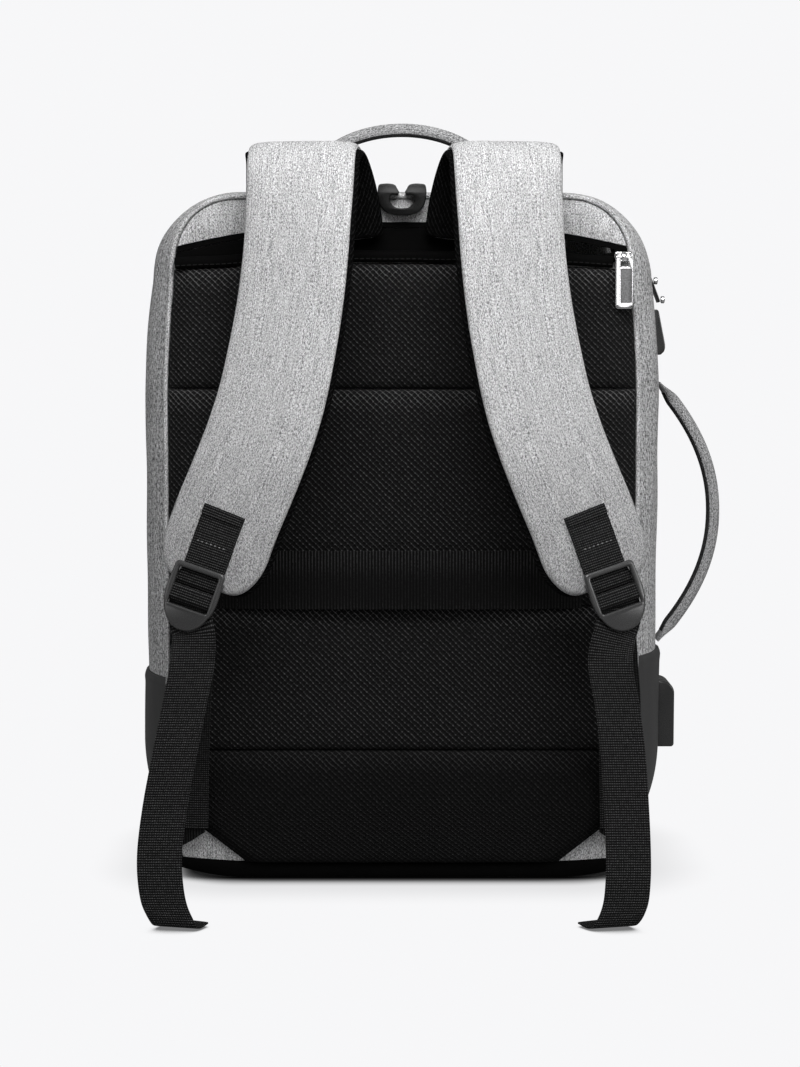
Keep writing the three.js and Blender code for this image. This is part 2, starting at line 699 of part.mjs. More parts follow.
function buildBuckle(side, name) {
  const half = BUCKLE_WIDTH / 2
  const inner = half - BUCKLE_RAIL
  const rim = new THREE.Shape()
  rim.moveTo(-half + 2.5, 0)
  rim.lineTo(half - 2.5, 0)
  rim.quadraticCurveTo(half, 0, half, 2.5)
  rim.lineTo(half + 0.6, 14)
  rim.quadraticCurveTo(half + 0.6, 22, half - 1.4, 26)
  rim.quadraticCurveTo(half * 0.62, BUCKLE_LENGTH, 0, BUCKLE_LENGTH)
  rim.quadraticCurveTo(-half * 0.62, BUCKLE_LENGTH, -half + 1.4, 26)
  rim.quadraticCurveTo(-half - 0.6, 22, -half - 0.6, 14)
  rim.lineTo(-half, 2.5)
  rim.quadraticCurveTo(-half, 0, -half + 2.5, 0)
  const window = new THREE.Path()
  window.moveTo(-inner, BUCKLE.topBar)
  window.lineTo(-inner, BUCKLE.tab)
  window.lineTo(inner, BUCKLE.tab)
  window.lineTo(inner, BUCKLE.topBar)
  window.closePath()
  rim.holes.push(window)
  const frameRim = new THREE.ExtrudeGeometry(rim, { depth: BUCKLE_THICKNESS, bevelEnabled: false, curveSegments: 5 })
  frameRim.translate(0, 0, BUCKLE.base)
  let solid = toSolid(frameRim)
  for (const bar of [BUCKLE.fixedBar, BUCKLE.slideBar]) {
    solid = solid.add(toSolid(block(point(-half + 0.4, bar.start, bar.low), point(half - 0.4, bar.end, bar.high))))
    for (const [from, to] of [[-half + 0.4, -inner], [inner, half - 0.4]]) {
      solid = solid.add(toSolid(block(point(from, bar.start, bar.low), point(to, bar.end, BUCKLE.base + 1))))
    }
  }
  const geometry = fromSolid(solid)
  const frame = buckleFrame(side)
  const basis = new THREE.Matrix4().makeBasis(frame.inward, frame.along, frame.out)
  if (basis.determinant() < 0) {
    geometry.scale(-1, 1, 1)
    basis.makeBasis(frame.inward.clone().negate(), frame.along, frame.out)
    const index = geometry.index.array
    for (let i = 0; i < index.length; i += 3) [index[i + 1], index[i + 2]] = [index[i + 2], index[i + 1]]
  }
  geometry.applyMatrix4(basis.setPosition(frame.at))
  add(`buckle_${name}`, geometry, 'plastic')
}

// Stations of flat webbing through points that each hold a place and a direction across
function webbingStations(rows) {
  return rows.map((row) => ({ ...row, half: WEBBING_WIDTH / 2, thick: WEBBING_THICKNESS / 2 }))
}

// Short webbing sewn on the strap's end, looped round the buckle's fixed bar and back under itself
function buildStrapWebbing(side, name) {
  const frame = buckleFrame(side)
  const half = WEBBING_THICKNESS / 2
  const under = GAP + half
  const over = under + WEBBING_THICKNESS + GAP
  const { start, end, low, high } = BUCKLE.fixedBar
  const top = high + GAP + half
  const turn = end + GAP + half
  const below = low - GAP - half
  const loop = [
    [0.4, over], [2, over + 0.2], [3.6, top - 0.75], [start - 0.2, top], [end - 0.6, top], [end + 0.4, top - 0.4],
    [turn, top - 1.3], [turn, below + 1.3], [end + 0.4, below + 0.3], [end - 0.6, below], [start, under + 0.2],
    [2, under],
  ]
  const places = [PATCH_LENGTH, PATCH_LENGTH * 0.66, PATCH_LENGTH * 0.33]
  const stations = webbingStations([
    ...places.map((back) => onStrap(side, back, over)),
    ...loop.map(([along, off]) => ({ at: onBuckle(frame, 0, along, off), across: frame.inward })),
    ...places.reverse().map((back) => onStrap(side, back, under)),
  ])
  add(`strap_webbing_${name}`, sweep(stations, TAPE_SECTION, frame.out), 'webbing')
}

// Long webbing: sewn at the lower corner, up behind the buckle, over its sliding bar, back under
// the thumb tab, and down in front to a free end that lies on the floor.
// Tail rows: x and y as shares of half the width and of the tail's reach, z of the buckle's height
// over the floor, turn of its width in degrees.
const TAILS = {
  left: [
    { x: 0.742, y: 0.765, z: 0.860, turn: 4 },
    { x: 0.770, y: 0.80, z: 0.710, turn: 0 },
    { x: 0.800, y: 0.85, z: 0.560, turn: 0 },
    { x: 0.832, y: 0.90, z: 0.390, turn: 0 },
    { x: 0.848, y: 0.95, z: 0.245, turn: 0 },
    { x: 0.845, y: 0.98, z: 0.160, turn: 0 },
    { x: 0.830, y: 1.00, z: 0.080, turn: 0 },
    { x: 0.808, y: 1.01, z: 0.034, turn: -4 },
    { x: 0.794, y: 1.005, z: 0.010, turn: -10 },
    { x: 0.779, y: 0.97, z: 0.001, turn: -18 },
    { x: 0.754, y: 0.90, z: 0.005, turn: -22 },
  ],
  right: [
    { x: 0.736, y: 0.765, z: 0.860, turn: 4 },
    { x: 0.760, y: 0.80, z: 0.710, turn: 0 },
    { x: 0.777, y: 0.85, z: 0.560, turn: 0 },
    { x: 0.787, y: 0.90, z: 0.390, turn: 0 },
    { x: 0.791, y: 0.95, z: 0.245, turn: 0 },
    { x: 0.789, y: 0.98, z: 0.160, turn: 0 },
    { x: 0.779, y: 1.00, z: 0.080, turn: 0 },
    { x: 0.760, y: 1.01, z: 0.034, turn: -4 },
    { x: 0.743, y: 1.005, z: 0.010, turn: -10 },
    { x: 0.722, y: 0.97, z: 0.001, turn: -18 },
    { x: 0.690, y: 0.90, z: 0.005, turn: -22 },
  ],
}

function buildAdjustWebbing(side, name) {
  const frame = buckleFrame(side)
  const half = WEBBING_THICKNESS / 2
  const { start, end, high } = BUCKLE.slideBar
  const top = high + GAP + half
  const tailOff = BUCKLE.base - GAP - half - 0.2
  const loadOff = tailOff - WEBBING_THICKNESS - 2 * GAP
  const through = start - GAP - half
  const back = end + GAP + half
  const local = [
    [38, loadOff - 1, 7], [32, loadOff - 0.6, 4], [26, loadOff - 0.2, 1.4], [20, loadOff, 0], [16.6, loadOff, 0],
    [through + 0.3, loadOff + 0.5, 0], [through, loadOff + 1.5, 0], [through, top - 1.2, 0],
    [through + 0.5, top - 0.25, 0], [start + 1, top, 0], [end - 1, top, 0], [back - 0.5, top - 0.25, 0],
    [back, top - 1.2, 0], [back + 0.1, tailOff + 1.2, 0], [back + 0.7, tailOff + 0.3, 0], [back + 2, tailOff, 0],
    [28, tailOff, 1.4], [32, tailOff, 4.2], [36, tailOff, 7.4],
  ].map(([along, off, shift]) => ({ at: onBuckle(frame, shift, along, off), across: frame.inward }))
  const seatY = PAD_BACK - PAD_THICKNESS - GAP - WING_THICKNESS - GAP - half
  const acrossPlain = point(-side, 0, 0)
  const anchor = [
    { x: 0.822, y: seatY, z: 0.100 },
    { x: 0.818, y: seatY - STRAP_REACH * 0.014, z: 0.150 },
    { x: 0.806, y: seatY - STRAP_REACH * 0.192, z: 0.220 },
    { x: 0.786, y: seatY - STRAP_REACH * 0.493, z: 0.290 },
    { x: 0.762, y: seatY - STRAP_REACH * 0.767, z: 0.345 },
  ].map((row) => ({ at: point(side * row.x * HALF + STRAP_SHIFT, row.y, HEIGHT * row.z), across: acrossPlain }))
  const drop = frame.at.z - FLOOR_CLEARANCE - half
  const tail = TAILS[name].map((row) => {
    const turn = THREE.MathUtils.degToRad(row.turn)
    return {
      at: point(side * row.x * HALF, BACK - row.y * TAIL_REACH, FLOOR_CLEARANCE + half + row.z * drop * 0.86),
      across: point(-side * Math.cos(turn), Math.sin(turn), 0),
      level: true,
    }
  })
  const stations = liftedOffFloor(webbingStations([...anchor, ...local, ...tail]), point(0, -1, 0))
  add(`adjust_webbing_${name}`, sweep(stations, TAPE_SECTION, point(0, -1, 0)), 'webbing')
}

// Cloth tab sewn into the side seam, over the padding's cut corner
function buildWing(side, name) {
  const corners = { outLow: [0.868, 0.043], inLow: [0.75, 0.073], inHigh: [0.75, 0.19], outHigh: [0.868, 0.232] }
  const reach = HALF * (corners.outLow[0] - corners.inLow[0])
  const fold = (HALF * (corners.outLow[0] - OUTLINES.seam.half) + PAD_INSET + PAD_BEVEL) / reach
  const grid = (off) =>
    [0, fold / 2, fold, (1 + fold) / 2, 1].map((a) =>
      spread(0, 1, 3).map((b) => {
        const low = corners.outLow.map((value, i) => mix(value, corners.inLow[i], a))
        const high = corners.outHigh.map((value, i) => mix(value, corners.inHigh[i], a))
        const x = HALF * mix(low[0], high[0], b)
        const z = HEIGHT * mix(low[1], high[1], b)
        const fromSide = halfWidthAt(OUTLINES.seam, z, PAD_INSET) - x
        return point(side * x, PAD_BACK - padRise(fromSide) - GAP - off, z)
      }),
    )
  add(`strap_wing_${name}`, solidBetween(grid(WING_THICKNESS), grid(0)), 'webbing')
}

// Handles

// Tube that flattens into a sewn tab at both ends
function handleStations(count, place, across) {
  return spread(-1, 1, count).map((share) => {
    const tab = THREE.MathUtils.smoothstep(Math.abs(share), 0.86, 1)
    return {
      at: place(share),
      across,
      half: mix(HANDLE_DIAMETER, HANDLE_TAB_WIDTH, tab) / 2,
      thick: mix(HANDLE_DIAMETER, HANDLE_TAB_THICKNESS, tab) / 2,
    }
  })
}

function buildHandles() {
  const zipMiddle = BACK + MAIN_ZIP_BEHIND + MAIN_ZIP_WIDTH / 2
  const seat = HANDLE_TAB_THICKNESS / 2 + GAP
  const overTop = (share) => {
    const angle = (share * Math.PI) / 2
    const x = (TOP_HANDLE_SPAN / 2) * Math.sin(angle)
    return point(x, zipMiddle, HEIGHT + GAP + TOP_HANDLE_RISE * Math.max(Math.cos(angle), 0) ** 0.9)
  }
  const top = sweep(handleStations(24, overTop, point(0, 1, 0)), ROUND_SECTION, point(0, 0, 1))
  add('top_handle', top, 'fabric')
  const middleZ = HEIGHT * 0.526
  const atSide = (share) => {
    const z = middleZ + (share * SIDE_HANDLE_LENGTH) / 2
    const bow = SIDE_HANDLE_REACH * (1 - Math.abs(share) ** 2.1)
    return point(sideAt(OUTLINES.girth, z) + seat + bow, 0, z)
  }
  const side = sweep(handleStations(26, atSide, point(0, 1, 0)), ROUND_SECTION, point(1, 0, 0))
  add('side_handle', side, 'fabric')
}

// Small hardware

// Clip on the yoke: an open ring with a mouth at the top
function buildClip() {
  const z = HEIGHT * 0.983
  const mouth = Math.asin(CLIP_MOUTH / CLIP_WIDTH) + 0.1
  const ring = new THREE.Shape()
  const arc = (a, b, from, to) =>
    spread(from, to, 18).map((angle) => [a * Math.cos(angle), z + b * Math.sin(angle)])
  const start = Math.PI / 2 + mouth
  const finish = Math.PI / 2 + 2 * Math.PI - mouth
  const outer = arc(CLIP_WIDTH / 2, CLIP_HEIGHT / 2, start, finish)
  const inner = arc(CLIP_WIDTH / 2 - CLIP_BAND, CLIP_HEIGHT / 2 - CLIP_BAND * 0.86, finish - 0.12, start + 0.12)
  ring.setFromPoints([...outer, ...inner].map(([x, y]) => new THREE.Vector2(x, y)))
  add('top_clip', plate(ring, PIPING_FACE - GAP, CLIP_DEPTH), 'plastic')
}

// Zip slider of the back pocket with a bridge, and the open pull that hangs from it
const SLIDER = { x: HALF * 0.824, z: HEIGHT * 0.901 }
const BRIDGE = { width: 3, half: 3.2, rise: 6, wall: 1.3 }
const HINGE_Y = BACK - PAD_THICKNESS - 2.2 - PULL_THICKNESS / 2

function buildSlider() {
  const { x, z } = SLIDER
  const faceY = HINGE_Y + PULL_THICKNESS / 2 + 2.4
  const body = block(
    point(x - SLIDER_WIDTH / 2, faceY, z - SLIDER_HEIGHT / 2),
    point(x + SLIDER_WIDTH / 2, PIPING_FACE - GAP, z + SLIDER_HEIGHT / 2),
  )
  const arch = block(
    point(x - BRIDGE.width / 2, HINGE_Y - 2.6, z - BRIDGE.half),
    point(x + BRIDGE.width / 2, faceY + 1, z + BRIDGE.half),
  )
  const eye = block(
    point(x - BRIDGE.width, HINGE_Y - 2.6 + BRIDGE.wall, z - BRIDGE.half + BRIDGE.wall),
    point(x + BRIDGE.width, faceY, z + BRIDGE.half - BRIDGE.wall),
  )
  add('back_zip_slider', fromSolid(toSolid(body).add(toSolid(arch)).subtract(toSolid(eye))), 'chrome')
}

function buildPull() {
  const half = PULL_WIDTH / 2
  const { x, z } = SLIDER
  const frame = new THREE.Shape()
  const bar = 0.8
  const round = 2
  const low = -PULL_LENGTH + bar
  frame.moveTo(-half + round, bar)
  frame.lineTo(half - round, bar)
  frame.quadraticCurveTo(half, bar, half, bar - round)
  frame.lineTo(half, low + round)
  frame.quadraticCurveTo(half, low, half - round, low)
  frame.lineTo(-half + round, low)
  frame.quadraticCurveTo(-half, low, -half, low + round)
  frame.lineTo(-half, bar - round)
  frame.quadraticCurveTo(-half, bar, -half + round, bar)
  const hole = (left, right, bottom, top) => {
    const path = new THREE.Path()
    path.moveTo(left, bottom)
    path.lineTo(right, bottom)
    path.lineTo(right, top)
    path.lineTo(left, top)
    path.closePath()
    frame.holes.push(path)
  }
  hole(-2.2, 2.2, -5.6, -bar)
  hole(-half + 3.2, half - 1.6, low + 7.5, -8.2)
  const geometry = plate(frame, PULL_THICKNESS / 2, PULL_THICKNESS)
  const pull = add('back_zip_pull', geometry, 'chrome')
  pull.position.set(x, HINGE_Y, z)
}

// Outline from a list of corners
function polygon(corners) {
  return new THREE.Shape(corners.map(([x, z]) => new THREE.Vector2(x, z)))
}

// Lock beside the main zip, with the flap and the two pullers that it holds
function buildLock() {
  const zipMiddle = BACK + MAIN_ZIP_BEHIND + MAIN_ZIP_WIDTH / 2
  const near = zipMiddle + LOCK_WIDTH / 2
  const low = HEIGHT * 0.7615
  const high = low + LOCK_LENGTH
  const seatLow = sideAt(OUTLINES.girth, low) + GAP
  const seatHigh = seatLow - 0.6
  const nose = seatLow + LOCK_THICKNESS
  const body = polygon([
    [seatLow, low], [seatLow + LOCK_THICKNESS * 0.62, low + 0.4], [nose - 0.6, low + 2.4], [nose, low + 4.6],
    [nose - 0.1, low + 7], [seatHigh + 3.4, high - 1], [seatHigh + 2.4, high], [seatHigh, high],
  ])
  add('lock_body', plate(body, near, LOCK_WIDTH), 'plastic')
  const flapLow = high + 4.6
  const flapHigh = flapLow + FLAP_LENGTH
  const flapTop = halfWidthAt(OUTLINES.girth, flapHigh, FLAP_SINK)
  const flap = polygon([
    [flapTop, flapHigh], [flapTop + 1.4, flapHigh + 0.2], [seatHigh + 4.6, flapLow + 0.4], [seatHigh + 3.4, flapLow - 0.3],
  ])
  add('lock_plate', plate(flap, near - 2.5, LOCK_WIDTH - 5), 'plastic')
  const slope = (seatHigh + 4.6 - flapTop - 1.4) / (flapHigh - flapLow)
  const rows = { puller_upper: flapLow + 13.4, puller_lower: flapLow + 1.6 }
  for (const [name, z] of Object.entries(rows)) {
    const knob = new THREE.CylinderGeometry(PULLER_RADIUS, PULLER_RADIUS, 2.4, 12)
    knob.rotateZ(Math.PI / 2)
    const outside = flapTop + 1.4 + slope * (flapHigh - z)
    const piece = add(name, knob, 'chrome')
    piece.position.set(outside + 1.2 + 2 * GAP + slope * PULLER_RADIUS, zipMiddle, z)
  }
}

// Housing of the charging socket on the right boot, open underneath
function buildUsb() {
  const low = HEIGHT * 0.167
  const high = low + USB_HEIGHT
  const wall = HALF + BOOT_PROUD + GAP
  const out = wall + USB_REACH
  const side = new THREE.Shape()
  side.moveTo(wall, low)
  side.lineTo(out + 0.8, low)
  side.lineTo(out + 0.8, low + 2.4)
  side.lineTo(out, low + 2.6)
  side.lineTo(out, high - USB_ROUND)
  side.absarc(out - USB_ROUND, high - USB_ROUND, USB_ROUND, 0, Math.PI / 2, false)
  side.lineTo(wall, high)
  const middle = BACK + MAIN_ZIP_BEHIND + MAIN_ZIP_WIDTH / 2
  const hood = toSolid(plate(side, middle + USB_WIDTH / 2, USB_WIDTH))
  const socket = block(point(wall + 2.6, middle - 6.6, low - 1), point(wall + 7.8, middle + 6.6, low + 12))
  add('usb_housing', fromSolid(hood.subtract(toSolid(socket))), 'plastic')
}

buildGusset()
buildBoot()
buildBack()
buildFront()
buildPiping()
buildBaseBinding()
buildPads()
buildMeshBinding()
buildLuggageStrap()
for (const [side, name] of [[-1, 'left'], [1, 'right']]) {
  buildStrap(side, name)
  buildBuckle(side, name)
  buildStrapWebbing(side, name)
  buildAdjustWebbing(side, name)
  buildWing(side, name)
}
buildHandles()
buildClip()
buildSlider()
buildPull()
buildLock()
buildUsb()

export default bag
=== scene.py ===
"""Anti theft backpack, seen from its strap side: cloth, air mesh, webbing, moulded plastic and chrome.

Sizes are millimetres until a mesh is made, which is in metres. +Z is up, the shoulder straps are
towards -Y, and the origin is on the floor at the middle of the base.
"""

import logging
import math
from dataclasses import dataclass, field, replace
from enum import Enum

import bmesh
import bpy
import numpy as np
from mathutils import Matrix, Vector


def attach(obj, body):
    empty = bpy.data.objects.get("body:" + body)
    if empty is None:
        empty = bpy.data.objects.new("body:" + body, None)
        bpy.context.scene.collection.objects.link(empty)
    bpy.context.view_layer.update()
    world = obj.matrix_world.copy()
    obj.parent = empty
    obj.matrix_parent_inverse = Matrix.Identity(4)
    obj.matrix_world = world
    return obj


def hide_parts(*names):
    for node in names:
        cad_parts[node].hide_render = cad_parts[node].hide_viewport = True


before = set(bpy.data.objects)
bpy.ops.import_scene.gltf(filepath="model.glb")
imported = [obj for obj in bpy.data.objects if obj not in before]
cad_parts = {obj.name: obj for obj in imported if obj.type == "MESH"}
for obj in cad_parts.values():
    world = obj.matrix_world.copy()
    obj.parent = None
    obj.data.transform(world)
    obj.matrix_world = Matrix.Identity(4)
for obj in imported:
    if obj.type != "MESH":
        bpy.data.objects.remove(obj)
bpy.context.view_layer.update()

Array = np.ndarray
log = logging.getLogger("backpack")
MM = 0.001
BAG = "bag"
PULL = "zip_pull"


# Plain mathematics


def smooth(value: Array, low: float, high: float) -> Array:
    """Eased step of a value: 0 up to low, 1 from high on.

    Args:
        value: numbers to ease.
        low: where the step starts.
        high: where the step ends.

    Returns:
        t squared times (3 - 2t), with t the place between low and high.
    """
    t = np.clip((np.asarray(value, float) - low) / (high - low), 0.0, 1.0)
    return t * t * (3.0 - 2.0 * t)


def mix(first: Array, last: Array, share: Array) -> Array:
    """Straight blend from first to last by a share from 0 to 1."""
    return first + (last - first) * share


def unit(vectors: Array) -> Array:
    """Vectors at length one, along the last axis."""
    return vectors / np.maximum(np.linalg.norm(vectors, axis=-1, keepdims=True), 1e-9)


def spline(points: Array, dense: int = 40) -> Array:
    """Smooth line through points: a centripetal Catmull-Rom curve.

    Each stretch is a cubic whose end slopes come from its neighbours, weighted by the square root
    of the distances between them.

    Args:
        points: places to pass, one a row.
        dense: samples in each stretch.

    Returns:
        Places on the curve, both ends included.
    """
    padded = np.vstack([2 * points[0] - points[1], points, 2 * points[-1] - points[-2]])
    a, b, c, d = padded[:-3], padded[1:-2], padded[2:-1], padded[3:]
    gap = [
        np.maximum(np.linalg.norm(q - p, axis=1, keepdims=True), 1e-6) ** 0.5
        for p, q in ((a, b), (b, c), (c, d))
    ]
    slope_b = ((b - a) / gap[0] - (c - a) / (gap[0] + gap[1]) + (c - b) / gap[1]) * gap[1]
    slope_c = ((c - b) / gap[1] - (d - b) / (gap[1] + gap[2]) + (d - c) / gap[2]) * gap[1]
    t = (np.arange(dense) / dense)[None, :, None]
    b, c, slope_b, slope_c = (x[:, None, :] for x in (b, c, slope_b, slope_c))
    curve = (
        b + slope_b * t + (3 * (c - b) - 2 * slope_b - slope_c) * t**2
        + (2 * (b - c) + slope_b + slope_c) * t**3
    )
    return np.vstack([curve.reshape(-1, points.shape[1]), points[-1:]])


def along_line(line: Array) -> Array:
    """Distance walked to each point of a line."""
    steps = np.linalg.norm(np.diff(line, axis=0), axis=1)
    return np.concatenate([[0.0], np.cumsum(steps)])


def sampled(line: Array, walked: Array, at: Array) -> Array:
    """Rows of a line, or of values along it, at given distances."""
    return np.stack([np.interp(at, walked, column) for column in line.T], axis=-1)


def crumple(x: Array, z: Array, wave: float, seed: int, waves: int = 9) -> Array:
    """Soft random relief: a sum of sines near one wavelength that run in random directions.

    Args:
        x: first coordinate.
        z: second coordinate.
        wave: typical wavelength.
        seed: start of the random draw.
        waves: number of sines.

    Returns:
        Heights with a spread of about one.
    """
    draw = np.random.default_rng(seed)
    turn = draw.uniform(0, 2 * math.pi, waves)
    phase = draw.uniform(0, 2 * math.pi, waves)
    number = 2 * math.pi / (wave * draw.uniform(0.6, 1.7, waves))
    x, z = np.broadcast_arrays(x, z)
    angle = (x[..., None] * np.cos(turn) + z[..., None] * np.sin(turn)) * number + phase
    return np.sin(angle).sum(-1) * math.sqrt(2.0 / waves)


def superellipse(count: int, power: float, start: float = 0.5) -> Array:
    """Closed section from -1 to 1 both ways: a circle at power 2, nearly a rectangle at power 8."""
    angle = (np.arange(count) + start) * 2 * math.pi / count
    pair = np.stack([np.cos(angle), np.sin(angle)], axis=-1)
    return np.sign(pair) * np.abs(pair) ** (2.0 / power)


# Meshes


class Mesher:
    """Gathers grids of points in millimetres, and makes one mesh of them in metres."""

    def __init__(self) -> None:
        """Starts with nothing gathered."""
        self.points: list[Array] = []
        self.faces: list[Array] = []
        self.uvs: list[Array] = []
        self.total = 0

    def grid(self, points: Array, uv: Array | None = None, wrap: bool = False) -> None:
        """Adds a grid of points as four-sided faces.

        Args:
            points: rows by columns by 3.
            uv: rows by columns by 2, or None for distances over the surface.
            wrap: joins the last column to the first.
        """
        if wrap:
            points = np.concatenate([points, points[:, :1]], axis=1)
        uv = surface_uv(points) if uv is None else uv
        if uv.shape[1] < points.shape[1]:
            uv = np.concatenate([uv, uv[:, -1:]], axis=1)
        rows, columns = points.shape[:2]
        index = self.total + np.arange(rows * columns).reshape(rows, columns)
        self.points.append(points.reshape(-1, 3))
        self.faces.append(corners(index))
        self.uvs.append(corners(uv))
        self.total += rows * columns

    def sheet(self, outer: Array, inner: Array, from_top: bool = False) -> None:
        """Adds a closed sheet between two grids of the same rows and columns.

        Args:
            outer: the shown face.
            inner: the hidden face.
            from_top: counts v downwards from the last row instead of up from the first.
        """
        uv = surface_uv(outer)
        if from_top:
            uv[..., 1] -= uv[-1:, :, 1]
        self.grid(outer, uv)
        self.grid(inner, uv)
        for side in (np.s_[0], np.s_[-1]):
            self.grid(np.stack([outer[side], inner[side]]), np.stack([uv[side], uv[side]]))
            self.grid(np.stack([outer[:, side], inner[:, side]]), np.stack([uv[:, side], uv[:, side]]))

    def tube(self, rings: Array) -> None:
        """Adds closed rings, one a row, with both ends drawn together."""
        first, last = rings[:1].mean(axis=1, keepdims=True), rings[-1:].mean(axis=1, keepdims=True)
        first, last = (np.repeat(end, rings.shape[1], axis=1) for end in (first, last))
        self.grid(np.concatenate([first, rings, last]), wrap=True)

    def repeat(self, copies: Array) -> None:
        """Adds many small closed tubes at once: copies by rings by points by 3."""
        closed = np.concatenate([copies, copies[:, :, :1]], axis=2)
        count, rows, columns = closed.shape[:3]
        index = np.arange(rows * columns).reshape(rows, columns)
        faces = self.total + corners(index)[None] + (np.arange(count) * rows * columns)[:, None, None]
        self.points.append(closed.reshape(-1, 3))
        self.faces.append(faces.reshape(-1, 4))
        self.uvs.append(np.zeros((len(self.faces[-1]), 4, 2)))
        self.total += count * rows * columns

    def build(self, name: str, sharp: float) -> bpy.types.Object:
        """Makes the mesh object.

        Args:
            name: the object's name.
            sharp: angle in degrees over which an edge stays sharp.

        Returns:
            The new object, in the scene, with its faces out and its doubles merged.
        """
        mesh = bpy.data.meshes.new(name)
        mesh.from_pydata(
            (np.concatenate(self.points) * MM).tolist(), [], np.concatenate(self.faces).tolist()
        )
        layer = mesh.uv_layers.new(name="UVMap")
        layer.data.foreach_set("uv", (np.concatenate(self.uvs) * MM).astype(np.float32).ravel())
        return finished(mesh, name, sharp)


def sheet_mesh(outer: Array, inner: Array, from_top: bool = False) -> Mesher:
    """One closed sheet between two grids, gathered by itself."""
    mesher = Mesher()
    mesher.sheet(outer, inner, from_top)
    return mesher


def tube_mesh(rings: Array) -> Mesher:
    """One closed tube, gathered by itself."""
    mesher = Mesher()
    mesher.tube(rings)
    return mesher


def corners(grid: Array) -> Array:
    """The four corners of each cell of a grid, as faces by 4, or faces by 4 by values."""
    cells = np.stack([grid[:-1, :-1], grid[1:, :-1], grid[1:, 1:], grid[:-1, 1:]], axis=2)
    return cells.reshape(-1, 4, *grid.shape[2:])


def surface_uv(points: Array) -> Array:
    """Distances over a grid: u along each row from its middle, v the mean way down the rows."""
    across = np.linalg.norm(np.diff(points, axis=1), axis=-1)
    u = np.concatenate([np.zeros((len(points), 1)), np.cumsum(across, axis=1)], axis=1)
    down = np.linalg.norm(np.diff(points, axis=0), axis=-1).mean(axis=1)
    v = np.concatenate([[0.0], np.cumsum(down)])
    return np.stack([u - u[:, -1:] / 2, np.broadcast_to(v[:, None], u.shape)], axis=-1)


def surface_normals(points: Array, middle: Array) -> Array:
    """Normals of a grid, turned away from a middle point: the cross product of its two slopes."""
    normal = unit(np.cross(np.gradient(points, axis=0), np.gradient(points, axis=1)))
    facing = np.sign(((points - middle) * normal).sum(-1, keepdims=True))
    return normal * np.where(facing == 0, 1.0, facing)


def finished(mesh: bpy.types.Mesh, name: str, sharp: float) -> bpy.types.Object:
    """Merges a mesh's doubles, turns its faces out, shades it smooth and puts it in the scene."""
    work = bmesh.new()
    work.from_mesh(mesh)
    bmesh.ops.remove_doubles(work, verts=work.verts, dist=2e-6)
    bmesh.ops.dissolve_degenerate(work, edges=work.edges, dist=1e-7)
    bmesh.ops.recalc_face_normals(work, faces=work.faces)
    work.to_mesh(mesh)
    work.free()
    mesh.polygons.foreach_set("use_smooth", np.ones(len(mesh.polygons), bool))
    mesh.set_sharp_from_angle(angle=math.radians(sharp))
    made = bpy.data.objects.new(name, mesh)
    bpy.context.scene.collection.objects.link(made)
    return made


def flat_piece(outlines: list[Array], depth: float, bevel: float) -> bpy.types.Mesh:
    """Plate with rounded edges: a filled flat curve with its holes, pushed out both ways.

    Args:
        outlines: closed outlines as corners in X and Y, the outer one first, then the holes.
        depth: whole thickness.
        bevel: radius of the rounded edges.

    Returns:
        The plate's mesh in millimetres, with Z as its thickness, centred on Z = 0.
    """
    curve = bpy.data.curves.new("outline", "CURVE")
    curve.dimensions = "2D"
    curve.fill_mode = "BOTH"
    curve.extrude = depth / 2 - bevel
    curve.bevel_depth = bevel
    curve.bevel_resolution = 3
    curve.offset = -bevel
    for outline in outlines:
        line = curve.splines.new("POLY")
        line.points.add(len(outline) - 1)
        flat = np.concatenate([outline, np.zeros((len(outline), 1)), np.ones((len(outline), 1))], axis=1)
        line.points.foreach_set("co", flat.ravel())
        line.use_cyclic_u = True
    holder = bpy.data.objects.new("outline", curve)
    mesh = bpy.data.meshes.new_from_object(holder)
    bpy.data.objects.remove(holder)
    bpy.data.curves.remove(curve)
    return mesh


def mesh_points(mesh: bpy.types.Mesh) -> Array:
    """Every vertex of a mesh, one a row."""
    flat = np.zeros(len(mesh.vertices) * 3, np.float32)
    mesh.vertices.foreach_get("co", flat)
    return flat.reshape(-1, 3).astype(float)


def placed(mesh: bpy.types.Mesh, origin: Array, axes: Array) -> bpy.types.Mesh:
    """Puts a local mesh at an origin, with its X, Y and Z along three directions, in metres."""
    moved = (origin + mesh_points(mesh) @ axes) * MM
    mesh.vertices.foreach_set("co", moved.astype(np.float32).ravel())
    return mesh


def rounded(corners_xy: list[tuple[float, float]], radius: float, steps: int = 6) -> Array:
    """Outline with its corners rounded: a parabola between points a radius before and after each."""
    corner = np.array(corners_xy, float)
    back = unit(np.roll(corner, 1, axis=0) - corner)
    ahead = unit(np.roll(corner, -1, axis=0) - corner)
    t = np.linspace(0, 1, steps + 1)[None, :, None]
    start, end = (corner + side * radius for side in (back, ahead))
    curve = (1 - t) ** 2 * start[:, None] + 2 * t * (1 - t) * corner[:, None] + t**2 * end[:, None]
    return curve.reshape(-1, 2)


